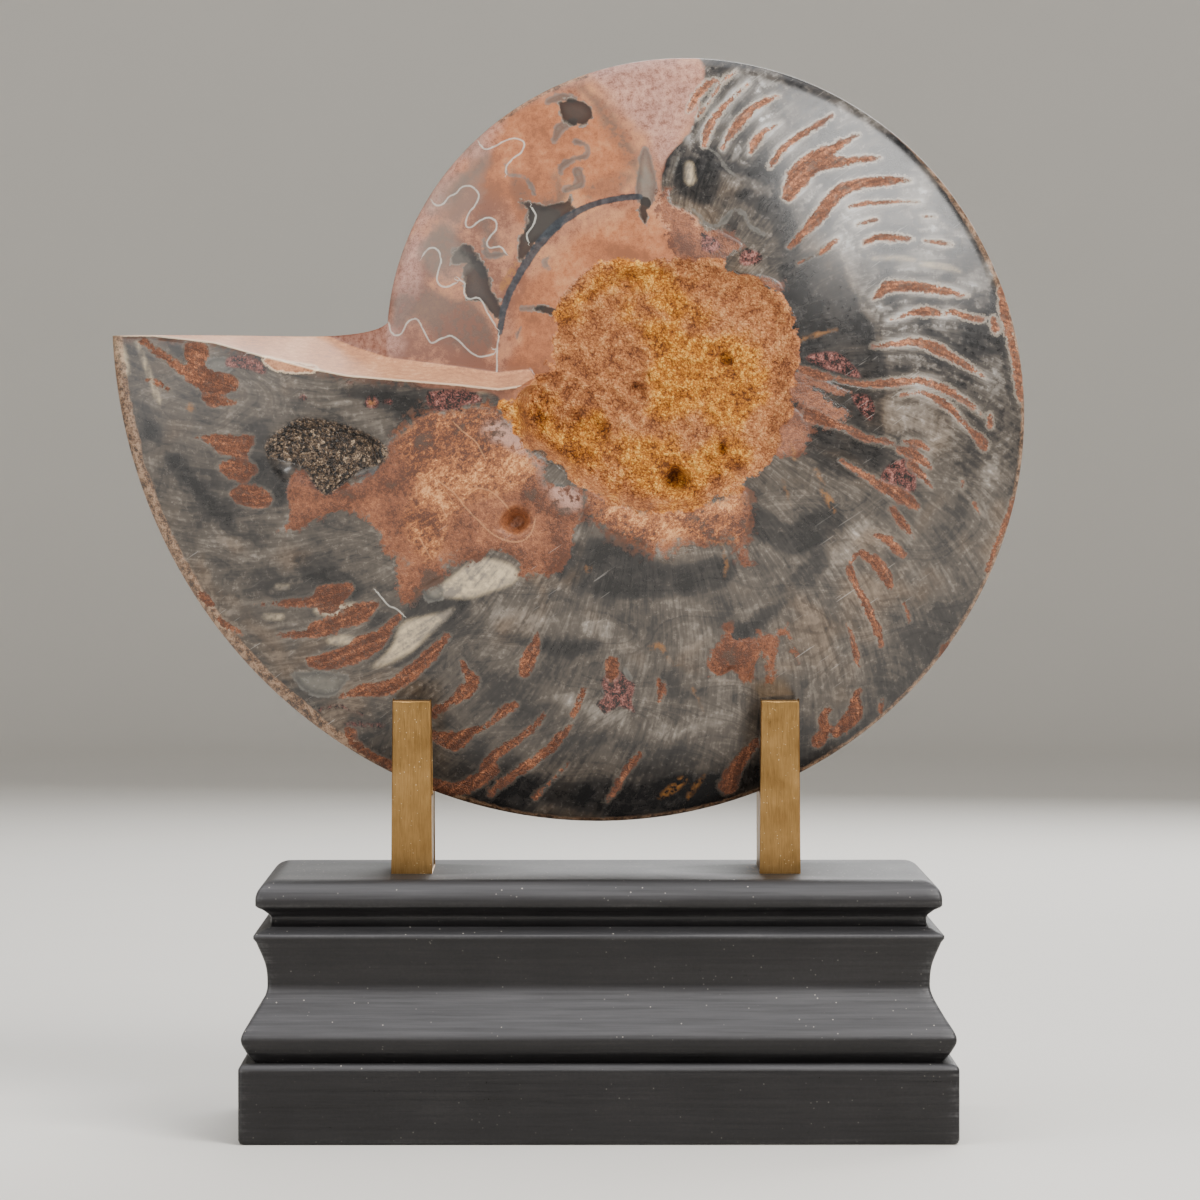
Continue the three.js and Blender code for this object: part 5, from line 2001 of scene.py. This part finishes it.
@dataclass(frozen=True)
class PaintedWood:
    """Wood painted charcoal with a brush: fine level grain, dust, and edges lighter from rubbing. Painted
    light
    too: a highlight on the profile's bends, a sheen on what looks up, and the brass's reflection by the
    brackets.
    """

    deep: Colour = srgb(19, 18, 19)
    paint: Colour = srgb(29, 28, 29)
    thin: Colour = srgb(43, 41, 42)
    worn_and_lit: Colour = srgb(96, 95, 96)
    sheen_grey: Colour = srgb(118, 118, 122)
    dust: Colour = srgb(196, 190, 180)
    reflected_brass: Colour = srgb(158, 122, 84)
    roughness: float = 0.33
    ior: float = 1.45
    shine: float = 0.35

    def build(self) -> bpy.types.Material:
        """Makes the material.

        The edge attribute marks what hands rub and where the profile bends, which are lighter as wear and
        as painted highlight. The ledge attribute marks what looks up, which gets dust and a painted sheen,
        and the feet attribute what lies beside a bracket, where the brass's reflection is painted as tan
        specks.

        Returns:
            The material.
        """
        g = Graph("painted_wood")
        place = g.millimetres()
        edge, ledge, feet = (g.attribute(name) for name in ("edge", "ledge", "feet"))
        grain = g.noise(g.stretched(place, (0.035, 0.035, 1.3)), 1.0, 3.0)
        cloud = g.noise(place, 0.07, 2.0)
        fine = g.noise(place, 1.4, 2.0)
        tone = (grain - 0.5) * 0.5 + (cloud - 0.5) * 0.4 + (fine - 0.5) * 0.35 + 0.42
        colour = g.ramp(tone, [(0.2, self.deep), (0.5, self.paint), (0.85, self.thin)])
        # Lighter on edges and bends: real wear on the corners, painted highlight on the bead and the cap's
        # rounded side.
        rubbed_and_lit = edge * (0.25 + (fine - 0.5) * 0.6 + (grain - 0.5) * 1.6)
        colour = g.blend(rubbed_and_lit.rise(0.1, 0.8) * 0.36, colour, self.worn_and_lit)
        # Painted sheen on faces that look up and forward.
        painted_sheen = ledge * (1 - ledge) * (1.1 + (grain - 0.5) * 1.6)
        colour = g.blend(painted_sheen, colour, self.sheen_grey)
        specks = g.cells(place, 0.5).out("Distance").rise(0.1, 0.05)
        dusty = specks * cloud.rise(0.36, 0.6) * (0.12 + ledge * 0.8)
        colour = g.blend(dusty, colour, self.dust)
        # Painted reflection of the brass: tan specks beside the brackets' feet.
        brass_reflection = feet * (fine * 0.8 + cloud * 0.5)
        colour = g.blend(brass_reflection.rise(0.5, 0.85) * 0.75, colour, self.reflected_brass)
        rough = self.roughness + (fine - 0.5) * 0.15 + ledge * 0.2 + (grain - 0.5) * 0.15 + feet * 0.2
        relief = grain * 0.07 + fine * 0.02
        return g.surface(colour, rough, relief, IOR=self.ior, Specular_IOR_Level=self.shine)


@dataclass(frozen=True)
class StudioPaper:
    """Pale paper for the floor and the wall round it."""

    shade: Colour = srgb(228, 225, 219)
    mottled: Colour = srgb(200, 196, 190)
    roughness: float = 0.85

    def build(self) -> bpy.types.Material:
        """Makes the material, matt with a faint mottle."""
        g = Graph("studio_paper")
        mottle = g.noise(g.millimetres(), 0.02, 0.0)
        colour = g.blend(mottle * 0.06, self.shade, self.mottled)
        return g.surface(colour, self.roughness)


@dataclass
class Board:
    """One board of the plinth: the same profile on four sides, with eased corners."""

    name: str
    profile: list[Point]
    width: float = 149.0
    depth: float = 83.0
    corner: float = 0.9
    corner_steps: int = 5
    side_steps: int = 60
    unevenness: float = 0.05
    mitre_reach: float = 1.5
    bend_light_and_wear: float = 1.3
    feet_reach: float = 5.0
    end_shares: tuple[float, ...] = (0.985, 0.94, 0.8, 0.5, 0.2)

    def path(self) -> tuple[Array, Array, Array, Array]:
        """Gives the way round the board as corner places and outward directions.

        Straight sides have even steps, and each corner turns by a quarter circle.

        Returns:
            The signs of x and y of each place's corner, and its direction outwards.
        """
        corner_x, corner_y, turn, along = [], [], [], []
        for quarter, (sx, sy) in enumerate(((-1, -1), (1, -1), (1, 1), (-1, 1))):
            angles = math.pi + quarter * math.pi / 2 + np.linspace(0, math.pi / 2, self.corner_steps)
            corner_x.append(np.full(self.corner_steps, float(sx)))
            corner_y.append(np.full(self.corner_steps, float(sy)))
            turn.append(angles)
            along.append(np.zeros(self.corner_steps))
            next_x, next_y = ((1, -1), (1, 1), (-1, 1), (-1, -1))[quarter]
            share = np.arange(1, self.side_steps) / self.side_steps
            corner_x.append(sx + (next_x - sx) * share)
            corner_y.append(sy + (next_y - sy) * share)
            turn.append(np.full(len(share), angles[-1]))
            along.append(np.minimum(share, 1 - share))
        return tuple(np.concatenate(part) for part in (corner_x, corner_y, turn, along))

    def build(self) -> bpy.types.Object:
        """Makes the board: each ring is the rectangle inset by the profile, its corners rounded."""
        profile = np.array(self.profile)
        corner_x, corner_y, turn, along = self.path()
        surface = Surface()
        rings = []
        edge, ledge = [], []
        slopes = np.gradient(profile, axis=0)
        bend = np.abs(np.gradient(np.unwrap(np.arctan2(slopes[:, 1], slopes[:, 0]))))
        for number, (inset, height) in enumerate(profile):
            half_x, half_y = self.width / 2 - inset - self.corner, self.depth / 2 - inset - self.corner
            x = corner_x * half_x + self.corner * np.cos(turn)
            y = corner_y * half_y + self.corner * np.sin(turn)
            wave = self.unevenness * fractal(x + 0.3 * y, y + 4 * height, 16, 2, 5)
            inward = 0 if number in (0, len(profile) - 1) else 1
            x = x - inward * np.cos(turn) * np.abs(wave)
            y = y - inward * np.sin(turn) * np.abs(wave)
            rings.append(surface.add(np.stack([x, y, np.full(len(x), height)], axis=-1)))
            mitre = np.exp(-along * self.width / self.mitre_reach)
            # Bends of the profile count as edges: the paint is lighter there, as wear and as painted
            # highlight.
            edge.append(np.maximum(mitre, min(bend[number] * self.bend_light_and_wear, 1.0)))
            rise = slopes[number, 0] / max(math.hypot(*slopes[number]), LEAST_LENGTH)
            ledge.append(np.full(len(x), max(rise, 0.0)))
        for below, above in zip(rings[:-1], rings[1:]):
            surface.strip(above, below)
        self.close(surface, rings[0], profile[0][1], edge, ledge, 0.0, True)
        self.close(surface, rings[-1], profile[-1][1], edge, ledge, 1.0, False)
        piece = surface.to_object(self.name)
        places = surface.all_places()
        put_attribute(piece, "edge", np.concatenate(edge))
        put_attribute(piece, "ledge", np.concatenate(ledge))
        put_attribute(piece, "feet", self.near_feet(places))
        return piece

    def close(self, surface: Surface, ring: Array, height: float, edge: list[Array], ledge: list[Array],
              level: float, downwards: bool) -> None:
        """Closes the board's end with shrinking rings and a middle place.

        Args:
            surface: the mesh being made.
            ring: numbers of the last ring of the profile.
            height: height of the end.
            edge: the edge values so far, which grow.
            ledge: the ledge values so far, which grow.
            level: how much dust lies on the end.
            downwards: whether the end looks down.
        """
        places = surface.all_places()[ring]
        last = ring
        for share in self.end_shares:
            shrunk = places * np.array([share, share, 0]) + np.array([0, 0, height])
            numbers = surface.add(shrunk)
            if downwards:
                surface.strip(last, numbers)
            else:
                surface.strip(numbers, last)
            last = numbers
            edge.append(np.zeros(len(numbers)))
            ledge.append(np.full(len(numbers), level))
        middle = surface.add(np.array([[0.0, 0.0, height]]))[0]
        surface.fan(middle, last[::-1] if downwards else last)
        edge.append(np.zeros(1))
        ledge.append(np.full(1, level))

    def near_feet(self, places: Array) -> Array:
        """Gives 1 beside a bracket's foot, falling to 0 a few millimetres from it."""
        best = np.full(len(places), np.inf)
        for name in ("bracket_left", "bracket_right"):
            low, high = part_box(name)
            low, high = np.array(low) / METRES_PER_MM, np.array(high) / METRES_PER_MM
            away_x = np.maximum(np.maximum(low[0] - places[:, 0], places[:, 0] - high[0]), 0)
            away_y = np.maximum(np.maximum(low[1] - places[:, 1], places[:, 1] - high[1]), 0)
            away = np.hypot(away_x, away_y) + np.abs(places[:, 2] - low[2])
            best = np.minimum(best, away)
        return np.exp(-best / self.feet_reach)


@dataclass
class Plinth:
    """The wooden plinth: a foot slab, a moulding with bead and cove, and a cap."""

    foot_top: float = 16.75
    moulding_top: float = 44.75
    cap_top: float = 54.5
    neck_inset: float = 6.5
    neck_top: float = 47.2
    nose_inset: float = 3.0
    nose_bottom: float = 42.4
    nose_top: float = 43.0
    cap_inset: float = 3.4
    cap_nose_bottom: float = 49.2
    cap_nose_top: float = 50.3
    roundover: float = 4.4
    edge_round: float = 1.5
    profile_steps: int = 10

    def quarter(self, inset: float, height: float, deep: float, high: float) -> list[Point]:
        """Gives a quarter ellipse from an upright side, inwards and up to a flat top."""
        angles = np.linspace(0, math.pi / 2, self.profile_steps)
        return [(inset + deep * (1 - math.cos(a)), height + high * math.sin(a)) for a in angles]

    def foot(self) -> list[Point]:
        """Gives the slab's profile: small eased edges and an upright side."""
        side = [(0.0, height) for height in np.linspace(1.0, self.foot_top - self.edge_round, 8)]
        top = self.quarter(0.0, self.foot_top - self.edge_round, self.edge_round, self.edge_round)
        return [(1.0, 0.0), (0.3, 0.3), *side, *top[1:]]

    def moulding(self) -> list[Point]:
        """Gives the moulding's profile: a smooth run over the bead and the cove, then the nose."""
        run = resampled(np.array([
            (3.4, self.foot_top), (1.5, 19.2), (0.6, 22.2), (3.2, 26.6),
            (5.4, 30.6), (5.8, 33.4), (5.3, 37.2), (3.6, 41.6),
        ]), self.profile_steps)
        nose = [(self.nose_inset, self.nose_bottom), (self.nose_inset, self.nose_top)]
        slope = [(3.25, 43.3), (4.8, 44.1), (self.neck_inset, self.moulding_top)]
        return [*map(tuple, run), *nose, *slope]

    def cap(self) -> list[Point]:
        """Gives the cap's profile: the neck, a cove under the nose, and the rounded top edge."""
        neck = [(self.neck_inset, self.moulding_top), (self.neck_inset, self.neck_top - 0.6)]
        under = [(6.2, self.neck_top), (5.0, 48.2), (3.8, 48.8), (self.cap_inset, self.cap_nose_bottom)]
        high = self.cap_top - self.cap_nose_top
        return [*neck, *under, *self.quarter(self.cap_inset, self.cap_nose_top, self.roundover, high)]

    def build(self, material: bpy.types.Material) -> list[bpy.types.Object]:
        """Makes and dresses the three boards."""
        pieces = []
        for name, profile in (("foot", self.foot()), ("moulding", self.moulding()), ("cap", self.cap())):
            piece = Board(f"painted_{name}", profile).build()
            dressed(piece, material, "painted_wood", f"plinth_{name}")
            pieces.append(piece)
        return pieces


@dataclass
class Bracket:
    """A square brass bar bent to a U that stands across the plinth and holds the fossil's rim."""

    node: str
    bevel: float = 0.32
    bevel_steps: int = 3
    slot_width: float = 15.0
    slot_floor: float = 70.9

    def build(self, material: bpy.types.Material) -> bpy.types.Object:
        """Makes the bracket: the U's outline pushed across the bar, with its edges bevelled."""
        low, high = (np.array(corner) / METRES_PER_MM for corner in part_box(self.node))
        slot = self.slot_width / 2
        outline = [(low[1], low[2]), (high[1], low[2]), (high[1], high[2]), (slot, high[2]),
                   (slot, self.slot_floor), (-slot, self.slot_floor), (-slot, high[2]), (low[1], high[2])]
        surface = Surface()
        left, right = (
            surface.add(np.array([(x, y, z) for y, z in outline])) for x in (low[0], high[0])
        )
        surface.strip(left, right)
        for corners in ((0, 7, 6, 5), (1, 0, 5, 4), (1, 4, 3, 2)):
            surface.face(*(left[[number]] for number in corners))
            surface.face(*(right[[number]] for number in reversed(corners)))
        piece = surface.to_object(self.node.replace("bracket", "brass_bracket"))
        rounded = piece.modifiers.new("eased_edges", "BEVEL")
        rounded.width = self.bevel * METRES_PER_MM
        rounded.segments = self.bevel_steps
        rounded.limit_method = "ANGLE"
        rounded.harden_normals = True
        dressed(piece, material, "brushed_brass", self.node)
        return piece


@dataclass
class Studio:
    """Pale paper under and all round the object, and soft lamps."""

    floor_radius: float = 1900.0
    bend_radius: float = 500.0
    wall_height: float = 2600.0
    round_steps: int = 96
    bend_steps: int = 16
    surround: Colour = srgb(205, 207, 212)
    surround_strength: float = 0.2
    aim_height: float = 140.0

    def lamp(self, name: str, place: tuple[float, float, float], size: float, power: float,
             colour: Colour = (1.0, 1.0, 1.0)) -> None:
        """Adds a square soft lamp that looks at the object.

        Args:
            name: the lamp's name.
            place: where it hangs, in mm.
            size: its side, in mm.
            power: its power, in watts.
            colour: the colour of its light.
        """
        light = bpy.data.lights.new(name, "AREA")
        light.size = size * METRES_PER_MM
        light.energy = power
        light.color = colour
        lamp = bpy.data.objects.new(name, light)
        lamp.location = [part * METRES_PER_MM for part in place]
        lamp.visible_camera = False
        towards = np.array([0.0, 0.0, self.aim_height]) - np.array(place)
        flat = math.hypot(towards[0], towards[1])
        lamp.rotation_euler = (math.atan2(flat, -towards[2]), 0.0, math.atan2(-towards[0], towards[1]))
        bpy.context.scene.collection.objects.link(lamp)

    def sweep(self, material: bpy.types.Material) -> None:
        """Makes the paper: a round level floor, a quarter-round bend, then an upright wall all round."""
        bend = np.linspace(0, math.pi / 2, self.bend_steps)
        radii = self.floor_radius + self.bend_radius * np.append(np.sin(bend), 1)
        heights = np.append(self.bend_radius * (1 - np.cos(bend)), self.wall_height)
        turn = np.linspace(0, FULL_TURN, self.round_steps, endpoint=False)
        across, along, level = np.cos(turn), np.sin(turn), np.ones(len(turn))
        surface = Surface()
        middle = surface.add(np.zeros((1, 3)))
        rings = [
            surface.add(np.column_stack([radius * across, radius * along, height * level]))
            for radius, height in zip(radii, heights)
        ]
        surface.fan(middle[0], rings[0])
        for inner, outer in zip(rings[:-1], rings[1:]):
            surface.strip(inner, outer)
        paper = surface.to_object("paper_sweep")
        paper.data.materials.append(material)

    def build(self, material: bpy.types.Material) -> None:
        """Lays the paper and hangs the lamps."""
        self.sweep(material)
        self.lamp("key_high_right", (620.0, -900.0, 820.0), 620.0, 23.0, (1.0, 0.98, 0.95))
        self.lamp("fill_left", (-900.0, -800.0, 420.0), 900.0, 8.0, (1.0, 0.99, 0.98))
        self.lamp("top", (-60.0, -40.0, 950.0), 700.0, 6.0)
        self.lamp("behind", (300.0, 1000.0, 700.0), 800.0, 12.0)
        world = bpy.data.worlds.new("surround")
        world.use_nodes = True
        background = world.node_tree.nodes["Background"]
        background.inputs["Color"].default_value = (*self.surround, 1.0)
        background.inputs["Strength"].default_value = self.surround_strength
        bpy.context.scene.world = world


def main() -> None:
    """Builds the view, the studio and every piece, and reports each."""
    VIEW.build()
    Studio().build(StudioPaper().build())
    fossil = Ammonite().build("fossil_ammonite")
    dressed(fossil, FossilStone().build(), "fossil_stone", "ammonite")
    pieces = [fossil]
    brass = BrushedBrass().build()
    pieces += [Bracket(node).build(brass) for node in ("bracket_left", "bracket_right")]
    pieces += Plinth().build(PaintedWood().build())
    for piece in pieces:
        log.info("%s: %d faces", piece.name, len(piece.data.polygons))


if __name__ == "__main__":
    main()
